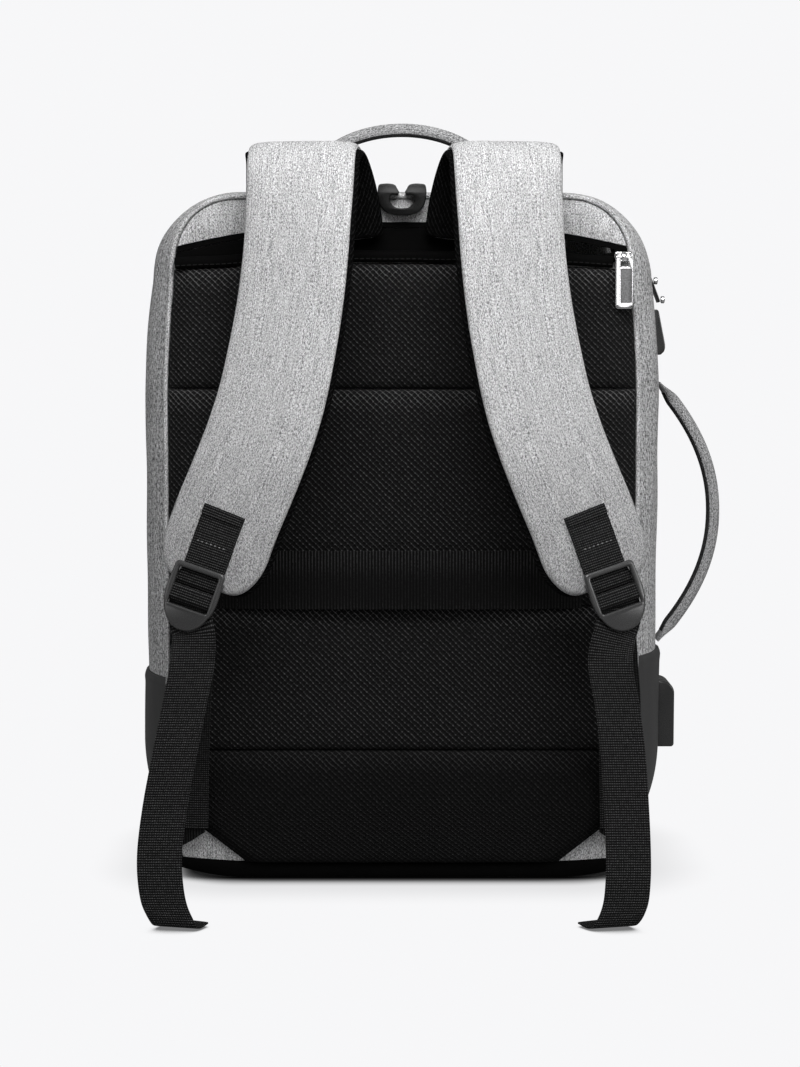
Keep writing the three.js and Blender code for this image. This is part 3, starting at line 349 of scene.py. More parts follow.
@dataclass
class Ribbon:
    """Band that runs along places, with a direction across, half widths and half thicknesses."""

    at: Array
    across: Array
    half: Array
    thick: Array
    slack: Array | None = None

    def __post_init__(self) -> None:
        """Slack says how far the band keeps its given direction across instead of a square one."""
        if self.slack is None:
            self.slack = np.zeros(len(self.at))

    def refined(self, step: float) -> "Ribbon":
        """The same band on a smooth line, with a place every step."""
        line = spline(self.at)
        walked = along_line(line)
        marks = walked[:: (len(line) - 1) // (len(self.at) - 1)]
        at = np.linspace(0, walked[-1], max(3, int(walked[-1] / step) + 1))
        sizes = np.stack([self.half, self.thick, self.slack], axis=-1)
        values = sampled(np.concatenate([self.across, sizes], axis=1), marks, at)
        return Ribbon(sampled(line, walked, at), unit(values[:, :3]), *values[:, 3:].T)

    def axes(self, facing: Array) -> tuple[Array, Array, Array]:
        """Directions along, across and out of the band; facing picks the first place's outer side."""
        along = unit(np.gradient(self.at, axis=0))
        up = unit(np.cross(along, self.across))
        turned = np.sign((up[1:] * up[:-1]).sum(-1))
        first = np.sign(up[0] @ facing) or 1.0
        up = up * (first * np.concatenate([[1.0], np.cumprod(np.where(turned == 0, 1, turned))]))[:, None]
        squared = unit(np.cross(up, along))
        squared *= np.sign((squared * self.across).sum(-1, keepdims=True))
        return along, unit(mix(squared, self.across, self.slack[:, None])), up

    def rings(self, section: Array, facing: Array) -> Array:
        """Section scaled to each place: centre + across a half + out a thickness."""
        _, across, up = self.axes(facing)
        a = section[None, :, :1] * self.half[:, None, None] * across[:, None, :]
        b = section[None, :, 1:] * self.thick[:, None, None] * up[:, None, :]
        return self.at[:, None, :] + a + b


def stitch_row(mesher: Mesher, line: Array, out: Array, pitch: float, length: float, radius: float) -> None:
    """Sews a line: six-sided threads that sink into the cloth at their ends.

    Args:
        mesher: gathers the threads.
        line: places along the seam.
        out: direction off the cloth, one for all or one for each place.
        pitch: distance from one thread to the next.
        length: length of a thread.
        radius: radius of a thread.
    """
    walked = along_line(line)
    marks = np.arange(pitch / 2, walked[-1], pitch)
    places = sampled(line, walked, marks)
    along = unit(sampled(np.gradient(line, axis=0), walked, marks))
    out = np.broadcast_to(out, line.shape)
    out = unit(sampled(out, walked, marks))
    side = np.cross(along, out)
    reach = np.array([-1.0, -0.8, 0.0, 0.8, 1.0])
    rise = np.array([-0.9, 0.1, 0.4, 0.1, -0.9])
    girth = np.array([0.25, 0.9, 1.0, 0.9, 0.25])
    angle = np.arange(6) * math.pi / 3
    centre = (
        places[:, None] + along[:, None] * (reach * length / 2)[:, None]
        + out[:, None] * (rise * radius)[:, None]
    )
    ring = side[:, None] * np.cos(angle)[:, None] + out[:, None] * np.sin(angle)[:, None]
    mesher.repeat(centre[:, :, None] + ring[:, None] * (girth * radius)[None, :, None, None])


# Shader nodes


class Nodes:
    """Short way to add nodes to a tree and to join them."""

    def __init__(self, tree: bpy.types.NodeTree) -> None:
        """Works on one node tree."""
        self.tree = tree

    def add(self, kind: str, inputs: dict | None = None, **settings: object) -> bpy.types.Node:
        """Adds a node.

        Args:
            kind: node type without its ShaderNode prefix.
            inputs: values or sockets, by the node's input names or numbers.
            settings: the node's own properties.

        Returns:
            The new node.
        """
        node = self.tree.nodes.new("ShaderNode" + kind)
        for key, value in settings.items():
            setattr(node, key, value)
        for key, value in (inputs or {}).items():
            if isinstance(value, bpy.types.NodeSocket):
                self.tree.links.new(value, node.inputs[key])
            else:
                node.inputs[key].default_value = value
        return node

    def maths(self, operation: str, *values: object) -> bpy.types.NodeSocket:
        """Result of a Math node."""
        return self.add("Math", dict(enumerate(values)), operation=operation).outputs[0]

    def ease(
        self, value: object, low: float, high: float, to: tuple[float, float] = (0.0, 1.0)
    ) -> bpy.types.NodeSocket:
        """Smooth step of a value between low and high."""
        inputs = {"Value": value, "From Min": low, "From Max": high, "To Min": to[0], "To Max": to[1]}
        return self.add("MapRange", inputs, interpolation_type="SMOOTHSTEP").outputs[0]

    def blend(self, share: object, first: object, last: object) -> bpy.types.NodeSocket:
        """Colour between first and last."""
        node = self.add("Mix", data_type="RGBA")
        for socket, value in zip([node.inputs[0], node.inputs[6], node.inputs[7]], (share, first, last)):
            if isinstance(value, bpy.types.NodeSocket):
                self.tree.links.new(value, socket)
            else:
                socket.default_value = value
        return node.outputs[2]

    def stretched(self, vector: object, scale: tuple[float, float, float]) -> bpy.types.NodeSocket:
        """Vector scaled by its three parts."""
        return self.add("Mapping", {"Vector": vector, "Scale": scale}).outputs[0]

    def noise(self, vector: object, scale: float, detail: float = 1.0) -> bpy.types.NodeSocket:
        """Value of a noise texture."""
        return self.add("TexNoise", {"Vector": vector, "Scale": scale, "Detail": detail}).outputs[0]


def new_group(
    name: str, takes: dict[str, object], gives: tuple[str, ...]
) -> tuple[bpy.types.NodeTree, Nodes, bpy.types.Node, bpy.types.Node]:
    """Starts a shader node group with named sockets.

    Args:
        name: the group's name.
        takes: input names with a default number, or None for a vector.
        gives: output names.

    Returns:
        The tree, its helper, and its input and output nodes.
    """
    tree = bpy.data.node_groups.new(name, "ShaderNodeTree")
    for key, value in takes.items():
        kind = "NodeSocketVector" if value is None else "NodeSocketFloat"
        socket = tree.interface.new_socket(key, in_out="INPUT", socket_type=kind)
        if value is not None:
            socket.default_value = value
    for key in gives:
        tree.interface.new_socket(key, in_out="OUTPUT", socket_type="NodeSocketFloat")
    return tree, Nodes(tree), tree.nodes.new("NodeGroupInput"), tree.nodes.new("NodeGroupOutput")


def melange_group() -> bpy.types.NodeTree:
    """Threads of a mottled weave: flecks along the warp and the weft, with a plain weave's relief.

    Returns:
        A group that takes a place in metres and a fleck size, and gives a shade and a height.
    """
    takes = {"Vector": None, "Size": 1.0, "Pitch": 1.0}
    tree, n, given, out = new_group("melange_threads", takes, ("Shade", "Height"))
    place = n.add(
        "VectorMath", {0: given.outputs["Vector"], 3: given.outputs["Size"]}, operation="SCALE"
    ).outputs[0]
    warp = n.noise(n.stretched(place, (2100.0, 620.0, 900.0)), 1.0)
    weft = n.noise(n.stretched(place, (760.0, 2100.0, 900.0)), 1.0)
    twill = n.add(
        "Mapping", {"Vector": place, "Rotation": (0.0, 0.0, 0.6), "Scale": (2400.0, 900.0, 900.0)}
    ).outputs[0]
    slant = n.noise(twill, 1.0)
    streak = n.noise(n.stretched(place, (1300.0, 60.0, 400.0)), 1.0, 1.0)
    cloud = n.noise(place, 45.0, 2.0)
    shade = n.maths("ADD", n.maths("MULTIPLY", warp, 0.38), n.maths("MULTIPLY", weft, 0.24))
    shade = n.maths("ADD", shade, n.maths("MULTIPLY", slant, 0.38))
    shade = n.maths("ADD", shade, n.maths("MULTIPLY", n.maths("SUBTRACT", streak, 0.5), 0.2))
    shade = n.maths("ADD", shade, n.maths("MULTIPLY", n.maths("SUBTRACT", cloud, 0.5), 0.03))
    weave = n.stretched(given.outputs["Vector"], (2 * math.pi / 0.00105,) * 3)
    split = n.add("SeparateXYZ", {0: weave})
    checks = n.maths("MULTIPLY", n.maths("SINE", split.outputs[0]), n.maths("SINE", split.outputs[1]))
    height = n.maths("ADD", n.maths("MULTIPLY", checks, 0.3), n.maths("MULTIPLY", warp, 1.3))
    n.tree.links.new(shade, out.inputs["Shade"])
    n.tree.links.new(height, out.inputs["Height"])
    return tree


def diamond_group() -> bpy.types.NodeTree:
    """Air mesh: two families of slanted threads that cross, with a dark hole in each diamond.

    Returns:
        A group that takes a place in metres and two pitches in metres, and gives a thread mask and
        a height.
    """
    takes = {"Vector": None, "Across": 0.0038, "Along": 0.0037}
    tree, n, given, out = new_group("mesh_diamonds", takes, ("Thread", "Height"))
    wander = n.add(
        "TexNoise", {"Vector": given.outputs["Vector"], "Scale": 260.0, "Detail": 1.0}
    ).outputs[1]
    wander = n.add("VectorMath", {0: wander, 1: (0.5, 0.5, 0.5)}, operation="SUBTRACT").outputs[0]
    wander = n.add("VectorMath", {0: wander, 3: 0.0011}, operation="SCALE").outputs[0]
    place = n.add("VectorMath", {0: given.outputs["Vector"], 1: wander}, operation="ADD").outputs[0]
    split = n.add("SeparateXYZ", {0: place})
    u = n.maths("DIVIDE", split.outputs[0], given.outputs["Across"])
    v = n.maths("DIVIDE", split.outputs[1], given.outputs["Along"])
    ridges = []
    for operation in ("ADD", "SUBTRACT"):
        share = n.maths("FRACT", n.maths(operation, u, v))
        ridges.append(n.maths("ABSOLUTE", n.maths("SUBTRACT", share, 0.5)))
    ridge = n.maths("MAXIMUM", ridges[0], n.maths("MULTIPLY", ridges[1], 0.84))
    thread = n.ease(ridge, 0.3, 0.47)
    knot = n.ease(n.maths("ADD", *ridges), 0.72, 0.95)
    patch = n.noise(given.outputs["Vector"], 700.0)
    thread = n.maths("MULTIPLY", thread, n.ease(patch, 0.25, 0.7, (0.35, 1.0)))
    below_seam = n.add("SeparateXYZ", {0: given.outputs["Vector"]}).outputs[1]
    thread = n.maths("MULTIPLY", thread, n.ease(below_seam, -0.02, -0.004, (0.5, 1.0)))
    n.tree.links.new(n.maths("ADD", thread, n.maths("MULTIPLY", knot, 0.35)), out.inputs["Thread"])
    n.tree.links.new(
        n.maths("ADD", n.ease(ridge, 0.15, 0.5), n.maths("MULTIPLY", knot, 0.5)), out.inputs["Height"]
    )
    return tree


def rib_group() -> bpy.types.NodeTree:
    """Webbing: ribs across the band, each broken into small threads.

    Returns:
        A group that takes a place in metres and a pitch in metres, and gives a rib mask and a height.
    """
    takes = {"Vector": None, "Pitch": 0.00142, "Fine": 0.0013}
    tree, n, given, out = new_group("webbing_ribs", takes, ("Rib", "Height"))
    split = n.add("SeparateXYZ", {0: given.outputs["Vector"]})
    turn = n.maths("MULTIPLY", n.maths("DIVIDE", split.outputs[1], given.outputs["Pitch"]), 2 * math.pi)
    cross = n.maths("MULTIPLY", n.maths("DIVIDE", split.outputs[0], given.outputs["Fine"]), 2 * math.pi)
    uneven = n.noise(n.stretched(given.outputs["Vector"], (900.0, 300.0, 1.0)), 1.0)
    wave = n.maths("SINE", n.maths("ADD", turn, n.maths("MULTIPLY", n.maths("SUBTRACT", uneven, 0.5), 1.6)))
    rib = n.ease(wave, -0.4, 1.0)
    fine = n.ease(n.maths("SINE", cross), -1.0, 1.0, (0.35, 1.0))
    n.tree.links.new(
        n.maths("MULTIPLY", rib, n.maths("MULTIPLY", fine, n.ease(uneven, 0.25, 0.7, (0.5, 1.0)))),
        out.inputs["Rib"]
    )
    n.tree.links.new(n.maths("MULTIPLY", rib, fine), out.inputs["Height"])
    return tree


def grain_group() -> bpy.types.NodeTree:
    """Fine surface grain with slow patches, for coated cloth, moulded plastic and metal.

    Returns:
        A group that takes a place in metres and a scale, and gives a fine grain and slow patches.
    """
    takes = {"Vector": None, "Scale": 2500.0}
    tree, n, given, out = new_group("fine_grain", takes, ("Grain", "Patch"))
    n.tree.links.new(n.noise(given.outputs["Vector"], given.outputs["Scale"], 3.0), out.inputs["Grain"])
    n.tree.links.new(n.noise(given.outputs["Vector"], 60.0, 3.0), out.inputs["Patch"])
    return tree


class Effect(Enum):
    """The node groups that finishes share."""

    MELANGE = "melange"
    DIAMOND = "diamond"
    RIB = "rib"
    GRAIN = "grain"


EFFECT_MAKERS = {
    Effect.MELANGE: melange_group,
    Effect.DIAMOND: diamond_group,
    Effect.RIB: rib_group,
    Effect.GRAIN: grain_group,
}
made_groups: dict[Effect, bpy.types.NodeTree] = {}
made_materials: dict[str, bpy.types.Material] = {}


def grey(level: float) -> tuple[float, float, float, float]:
    """Neutral colour whose display value, from 0 to 255, is the level."""
    share = level / 255.0
    linear = share / 12.92 if share <= 0.04045 else ((share + 0.055) / 1.055) ** 2.4
    return (linear, linear, linear * 1.012, 1.0)


@dataclass(frozen=True)
class Finish:
    """One material: what its surface shows and how it takes the light."""

    name: str
    effect: Effect
    dark: float
    light: float
    roughness: float
    bump: float
    low: float = 0.3
    high: float = 0.7
    metallic: float = 0.0
    sheen: float = 0.0
    specular: float = 0.5
    inputs: dict = field(default_factory=dict, hash=False, compare=False)
    object_space: bool = False
    # fade: share of the colour kept at the foot; below 0.31 m the colour is blended towards black, a
    # painted shade for light that falls off downwards
    fade: float = 1.0

    def material(self) -> bpy.types.Material:
        """The finish's material, made once."""
        if self.name not in made_materials:
            made_materials[self.name] = self.make()
        return made_materials[self.name]

    def make(self) -> bpy.types.Material:
        """Builds the node tree: the effect's mask picks between two greys and drives the relief."""
        if self.effect not in made_groups:
            made_groups[self.effect] = EFFECT_MAKERS[self.effect]()
        material = bpy.data.materials.new(self.name)
        material.use_nodes = True
        n = Nodes(material.node_tree)
        shader = material.node_tree.nodes["Principled BSDF"]
        place = n.add("TexCoord").outputs["Object" if self.object_space else "UV"]
        group = material.node_tree.nodes.new("ShaderNodeGroup")
        group.node_tree = made_groups[self.effect]
        material.node_tree.links.new(place, group.inputs["Vector"])
        for key, value in self.inputs.items():
            group.inputs[key].default_value = value
        mask = n.ease(group.outputs[0], self.low, self.high)
        colour = n.blend(mask, grey(self.dark), grey(self.light))
        # Painted shade: the colour darkens towards black below 0.31 m, fully by 0.19 m, standing for light
        # that falls off downwards
        if self.fade < 1:
            height = n.add("SeparateXYZ", {0: n.add("TexCoord").outputs["Object"]}).outputs[2]
            painted_falloff_shade = n.ease(height, 0.19, 0.31, (1 - self.fade, 0.0))
            colour = n.blend(painted_falloff_shade, colour, grey(0))
        links = {"Base Color": colour}
        links["Roughness"] = n.ease(
            group.outputs[0], 0.0, 1.0, (self.roughness + 0.05, self.roughness - 0.05)
        )
        bump = n.add(
            "Bump",
            {
                "Height": group.outputs[1 if self.effect is not Effect.GRAIN else 0],
                "Distance": self.bump * MM
            }
        )
        links["Normal"] = bump.outputs[0]
        for key, value in links.items():
            material.node_tree.links.new(value, shader.inputs[key])
        shader.inputs["Metallic"].default_value = self.metallic
        shader.inputs["Sheen Weight"].default_value = self.sheen
        shader.inputs["Specular IOR Level"].default_value = self.specular
        return material


SIDE_CLOTH = Finish(
    "side_melange", Effect.MELANGE, 96, 234, 0.92, 0.3, 0.36, 0.64, sheen=0.08, specular=0.12
)
GUSSET_CLOTH = Finish(
    "gusset_melange", Effect.MELANGE, 66, 232, 0.92, 0.3, 0.36, 0.64, sheen=0.08, specular=0.12,
    inputs={"Size": 0.55}
)
# Its fade paints shade: the strap cloth darkens lower down, towards the buckles.
STRAP_CLOTH = Finish(
    "strap_melange", Effect.MELANGE, 104, 230, 0.92, 0.34, 0.34, 0.66, sheen=0.08, specular=0.12, fade=0.71
)
HANDLE_CLOTH = Finish(
    "handle_melange", Effect.MELANGE, 62, 196, 0.92, 0.25, 0.34, 0.66, sheen=0.05, specular=0.12
)
AIR_MESH = Finish("air_mesh", Effect.DIAMOND, 19, 106, 0.75, 0.6, 0.1, 1.1, specular=0.08)
# A darker copy of the air mesh for the bottom pad: painted shade for light that falls off towards the
# floor.
SHADED_LOW_MESH = Finish("air_mesh_low", Effect.DIAMOND, 12, 60, 0.75, 0.5, 0.1, 1.1, specular=0.08)
EDGE_MESH = Finish(
    "strap_edge_mesh", Effect.DIAMOND, 3, 34, 0.8, 0.4, 0.2, 1.1, specular=0.03,
    inputs={"Across": 0.0024, "Along": 0.0036}
)
WEBBING = Finish("ribbed_webbing", Effect.RIB, 9, 80, 0.65, 0.4, 0.0, 1.0, specular=0.1)
LUGGAGE_WEB = Finish(
    "luggage_webbing", Effect.RIB, 8, 50, 0.7, 0.3, 0.0, 1.0, specular=0.08,
    inputs={"Pitch": 0.0019, "Fine": 0.05}
)
BINDING = Finish("binding_cloth", Effect.GRAIN, 4, 9, 0.8, 0.05, specular=0.03, object_space=True)
COATED = Finish(
    "coated_cloth", Effect.GRAIN, 58, 68, 0.5, 0.05, specular=0.3, object_space=True,
    inputs={"Scale": 3200.0}
)
PLASTIC = Finish(
    "satin_plastic", Effect.GRAIN, 36, 43, 0.27, 0.015, specular=0.6, object_space=True,
    inputs={"Scale": 5200.0}
)
# A lighter copy of the satin plastic for the buckle frames: painted light for their lit rims.
LIT_BUCKLE_PLASTIC = replace(PLASTIC, name="buckle_plastic", dark=48, light=57, specular=0.7)
DARK_PLASTIC = Finish(
    "dark_plastic", Effect.GRAIN, 20, 26, 0.27, 0.015, specular=0.55, object_space=True,
    inputs={"Scale": 5200.0}
)
CLIP_PLASTIC = replace(DARK_PLASTIC, name="clip_plastic", dark=9, light=13, specular=0.22)
CHROME = Finish(
    "polished_chrome", Effect.GRAIN, 224, 240, 0.12, 0.003, metallic=1.0, object_space=True,
    inputs={"Scale": 900.0}
)
STEEL = Finish(
    "brushed_steel", Effect.GRAIN, 120, 150, 0.34, 0.003, metallic=1.0, object_space=True,
    inputs={"Scale": 900.0}
)
# Dark band on the handles' inner side: painted shade there, and partly the dark seam binding that runs
# along it.
HANDLE_SHADE_BAND = Finish("handle_underside", Effect.MELANGE, 14, 60, 0.92, 0.2, 0.34, 0.66, specular=0.08)
THREAD_BLACK = Finish("black_thread", Effect.GRAIN, 12, 30, 0.6, 0.02, specular=0.2, object_space=True)
THREAD_GREY = Finish("pale_thread", Effect.GRAIN, 96, 150, 0.7, 0.02, specular=0.2, object_space=True)


def piece(
    name: str,
    source: "Mesher | bpy.types.Mesh",
    finish: Finish,
    replaces: tuple[str, ...] = (),
    slot: str = "fabric",
    body: str = BAG,
    sharp: float = 38.0,
) -> bpy.types.Object:
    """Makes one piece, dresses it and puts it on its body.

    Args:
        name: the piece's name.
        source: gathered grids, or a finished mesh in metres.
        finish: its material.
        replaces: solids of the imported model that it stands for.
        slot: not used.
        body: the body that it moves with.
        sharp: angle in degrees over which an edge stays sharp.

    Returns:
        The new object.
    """
    made = source.build(name, sharp) if isinstance(source, Mesher) else finished(source, name, sharp)
    made.data.materials.append(finish.material())
    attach(made, body)
    if replaces:
        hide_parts(*replaces)
    log.info("%s: %d faces", name, len(made.data.polygons))
    return made


FILL_FRAMES = 20
FILL_CLOTH = {
    "quality": 6,
    "mass": 0.2,
    "use_pressure": True,
    "uniform_pressure_force": 4.0,
    "tension_stiffness": 12.0,
    "compression_stiffness": 12.0,
    "shear_stiffness": 6.0,
    "bending_stiffness": 0.6,
    "vertex_group_mass": "held",
}


def inflate(made: bpy.types.Object, cap: float, held: Array) -> None:
    """Fills a padded piece: a cloth simulation under pressure, with each point's way capped.

    Args:
        made: a closed mesh whose cells are about 4 to 6 mm.
        cap: farthest that a point may move, in millimetres.
        held: share from 0 to 1 by which each point is held at its seam.
    """
    rest = mesh_points(made.data)
    group = made.vertex_groups.new(name="held")
    for level in np.unique(np.round(held, 1)):
        group.add(np.flatnonzero(np.round(held, 1) == level).tolist(), float(level), "REPLACE")
    cloth = made.modifiers.new("fill", "CLOTH")
    for key, value in FILL_CLOTH.items():
        setattr(cloth.settings, key, value)
    cloth.settings.effector_weights.gravity = 0.0
    cloth.collision_settings.use_collision = False
    scene = bpy.context.scene
    for step in range(1, FILL_FRAMES + 1):
        scene.frame_set(step)
    shaped = made.evaluated_get(bpy.context.evaluated_depsgraph_get())
    moved = mesh_points(shaped.data) - rest
    made.modifiers.remove(cloth)
    scene.frame_set(1)
    far = np.linalg.norm(moved, axis=1, keepdims=True)
    limit = cap * MM
    moved *= np.where(far > 1e-9, limit * np.tanh(far / limit) / np.maximum(far, 1e-9), 0.0)
    made.data.vertices.foreach_set("co", (rest + moved).astype(np.float32).ravel())
    made.data.update()


# The bag's form


@dataclass(frozen=True)
class Outline:
    """One closed outline. Widths are shares of half the bag's width, rises are shares of its height."""

    half: float
    half_top: float
    top: float
    top_corner: float
    top_power: float
    base_corner: float
    base_power: float


@dataclass(frozen=True)
class Walk:
    """Shares of the walk round half an outline at which its stretches end."""

    base: float = 0.12
    base_corner: float = 0.27
    side: float = 0.62
    top_corner: float = 0.82


@dataclass(frozen=True)
class Form:
    """Sizes of the bag and the surfaces that every piece follows."""

    width: float = 317.0
    height: float = 415.0
    base_depth: float = 124.0
    top_depth: float = 98.0
    cloth: float = 2.0
    gap: float = 0.3
    piping: float = 1.4
    margin: float = 0.6
    zip_behind: float = 70.0
    zip_width: float = 7.5
    binding_sag: float = 3.5
    binding_height: float = 7.0
    pocket_gape: float = 7.5
    zip_tape: float = 3.0
    pad_thickness: float = 7.2
    pad_edge: float = 1.5
    pad_bevel: float = 10.0
    pad_inset: float = 3.0
    quilt_inset: float = 1.7
    walk: Walk = Walk()
    seam: Outline = Outline(0.89, 0.864, 0.988, 0.271, 2.4, 0.252, 4.0)
    girth: Outline = Outline(1.0, 0.962, 1.0, 0.345, 2.0, 0.362, 2.0)

    @property
    def reach(self) -> float:
        """Half the bag's width."""
        return self.width / 2

    @property
    def back(self) -> float:
        """Y of the back panel's face."""
        return -self.base_depth / 2

    @property
    def back_edge(self) -> float:
        """Y of the gusset's back edge."""
        return self.back + self.cloth + self.gap

    @property
    def piping_face(self) -> float:
        """Y of the piping's outermost line."""
        return self.back_edge - self.gap - 2 * self.piping

    @property
    def pad_back(self) -> float:
        """Y of the padding's hidden face."""
        return self.back - self.gap

    @property
    def corner_rise(self) -> float:
        """Height at which the lower corners end."""
        return self.height * 0.188

    @property
    def side_top(self) -> float:
        """Height at which the upper corners start."""
        return self.height * 0.872

    @property
    def zip_middle(self) -> float:
        """Y of the main zip's middle line."""
        return self.back + self.zip_behind + self.zip_width / 2

    @property
    def inset(self) -> float:
        """Distance from the seam to the edge of the back panels."""
        return self.piping + self.margin

    def side_at(self, row: Outline, z: Array) -> Array:
        """Half width of an outline's side at a height, with its slight taper to the top."""
        start = self.height * 0.7
        taper = np.clip((z - start) / (self.side_top - start), 0, 1) ** 1.5
        return self.reach * mix(row.half, row.half_top, taper)

    def half_outline(self, row: Outline, walk: Array) -> tuple[Array, Array]:
        """Half an outline, from the middle of the base to the middle of the top.

        The base is straight, each corner is a quarter of a superellipse, and the side and the top
        are nearly straight.

        Args:
            row: the outline.
            walk: shares of the walk from 0 to 1.

        Returns:
            X and Z of each place.
        """
        w = self.walk
        half, corner = self.reach * row.half, self.reach * row.base_corner
        angle = np.clip((walk - w.base) / (w.base_corner - w.base), 0, 1) * math.pi / 2
        x = np.where(
            walk <= w.base, (half - corner) * walk / w.base,
            half - corner + corner * np.sin(angle) ** (2 / row.base_power)
        )
        z = np.where(
            walk <= w.base, 0.0,
            self.corner_rise * (1 - np.maximum(np.cos(angle), 0) ** (2 / row.base_power))
        )
        side_z = mix(
            self.corner_rise, self.side_top,
            np.clip((walk - w.base_corner) / (w.side - w.base_corner), 0, 1)
        )
        x = np.where(walk > w.base_corner, self.side_at(row, side_z), x)
        z = np.where(walk > w.base_corner, side_z, z)
        half_top, top_corner = self.reach * row.half_top, self.reach * row.top_corner
        rise = self.height * row.top - self.side_top
        angle = np.clip((walk - w.side) / (w.top_corner - w.side), 0, 1) * math.pi / 2
        x = np.where(
            walk > w.side,
            half_top - top_corner + top_corner * np.maximum(np.cos(angle), 0) ** (2 / row.top_power), x
        )
        z = np.where(walk > w.side, self.side_top + rise * np.sin(angle) ** (2 / row.top_power), z)
        share = np.clip((walk - w.top_corner) / (1 - w.top_corner), 0, 1)
        x = np.where(walk > w.top_corner, (half_top - top_corner) * (1 - share), x)
        return x, np.where(walk > w.top_corner, self.height * row.top, z)

    def half_width_at(self, row: Outline, z: Array, inset: float) -> Array:
        """Half width at any height of an outline drawn in by an inset."""
        corner = self.reach * row.base_corner
        down = np.clip((self.corner_rise - z) / (self.corner_rise - inset), 0, 1)
        low = (
            self.reach * row.half - corner
            + (corner - inset) * (1 - down**row.base_power) ** (1 / row.base_power)
        )
        corner = self.reach * row.top_corner
        up = np.clip((z - self.side_top) / (self.height * row.top - self.side_top - inset), 0, 1)
        high = (
            self.reach * row.half_top - corner
            + (corner - inset) * (1 - up**row.top_power) ** (1 / row.top_power)
        )
        side = self.side_at(row, z) - inset
        return np.where(z < self.corner_rise, low, np.where(z <= self.side_top, side, high))

    def front_at(self, z: Array) -> Array:
        """Y of the front seam: upright low down, leaning back towards the top."""
        return (
            self.back + mix(self.base_depth, self.top_depth, smooth(np.asarray(z) / self.height, 0.3, 1.0))
        )

    def gusset(self, walk: Array, depth: Array, proud: float = 0.0) -> Array:
        """Points of the gusset: it swells from the seam's outline to the girth and back.

        Args:
            walk: from 0 at the base up the +X side, over the top at 1, to 2 at the base again.
            depth: from 0 at the back seam to 1 at the front seam.
            proud: distance that the sides stand out further.

        Returns:
            Points, rows by the walk and columns by the depth.
        """
        walk, depth = walk[:, None], depth[None, :]
        side = np.where(walk > 1, -1.0, 1.0)
        half_walk = np.where(walk > 1, 2 - walk, walk)
        seam, girth = self.half_outline(self.seam, half_walk), self.half_outline(self.girth, half_walk)
        swell = 1 - np.abs(2 * depth - 1) ** 2.6
        x, z = mix(seam[0], girth[0], swell), mix(seam[1], girth[1], swell)
        y = mix(self.back_edge, self.front_at(z), depth)
        return np.stack([side * (x + proud * np.minimum(1, z / self.corner_rise)), y, z], axis=-1)

    def walk_at(self, z: float) -> float:
        """Share of the walk at a height on the straight side."""
        return mix(
            self.walk.base_corner, self.walk.side,
            (z - self.corner_rise) / (self.side_top - self.corner_rise)
        )

    def arch(self, x: Array) -> Array:
        """Height of the back zip, which arches up in the middle."""
        return self.height * 0.952 - self.height * 0.0169 * np.abs(x / (self.reach * 0.6)) ** 2.5

    def binding_top(self, x: Array) -> Array:
        """Height of the padding's bound top edge."""
        return self.height * 0.911 - self.binding_sag * (x / (self.reach * 0.82)) ** 2

    def pocket_edge(self, x: Array) -> Array:
        """Upper edge of the band under the back zip, which gapes at the right."""
        gape = (
            self.gap + self.pocket_gape * np.exp(-(((x - self.reach * 0.655) / (self.reach * 0.088)) ** 2))
        )
        return np.maximum(self.binding_top(x) + self.gap, self.arch(x) - self.gap - self.zip_tape - gape)

    def pad_half(self, z: Array) -> Array:
        """Half width of the padding: it follows the seam, and its lower corners are cut off."""
        cut = self.reach * 0.602 + np.maximum(0, z - self.height * 0.0265) / 0.79
        return np.minimum(self.half_width_at(self.seam, z, self.quilt_inset), cut)

    def pad_rise(self, from_side: Array) -> Array:
        """Height of the padding, from the distance to its side: thin at the edge, full past the slope."""
        share = np.clip(from_side / self.pad_bevel, 0, 1)
        return mix(self.pad_edge, self.pad_thickness, share)


FORM = Form()
MIDDLE = np.array([0.0, 0.0, FORM.height / 2])
BEHIND = np.array([0.0, -1.0, 0.0])
UP = np.array([0.0, 0.0, 1.0])


def wall(
    outer: Array, thickness: float, relief: Array | float = 0.0, middle: Array = MIDDLE
) -> tuple[Array, Array]:
    """Two faces of a cloth wall: a grid moved out by its relief, and in by its thickness."""
    normal = surface_normals(outer, middle)
    return outer + normal * np.asarray(relief)[..., None], outer - normal * thickness


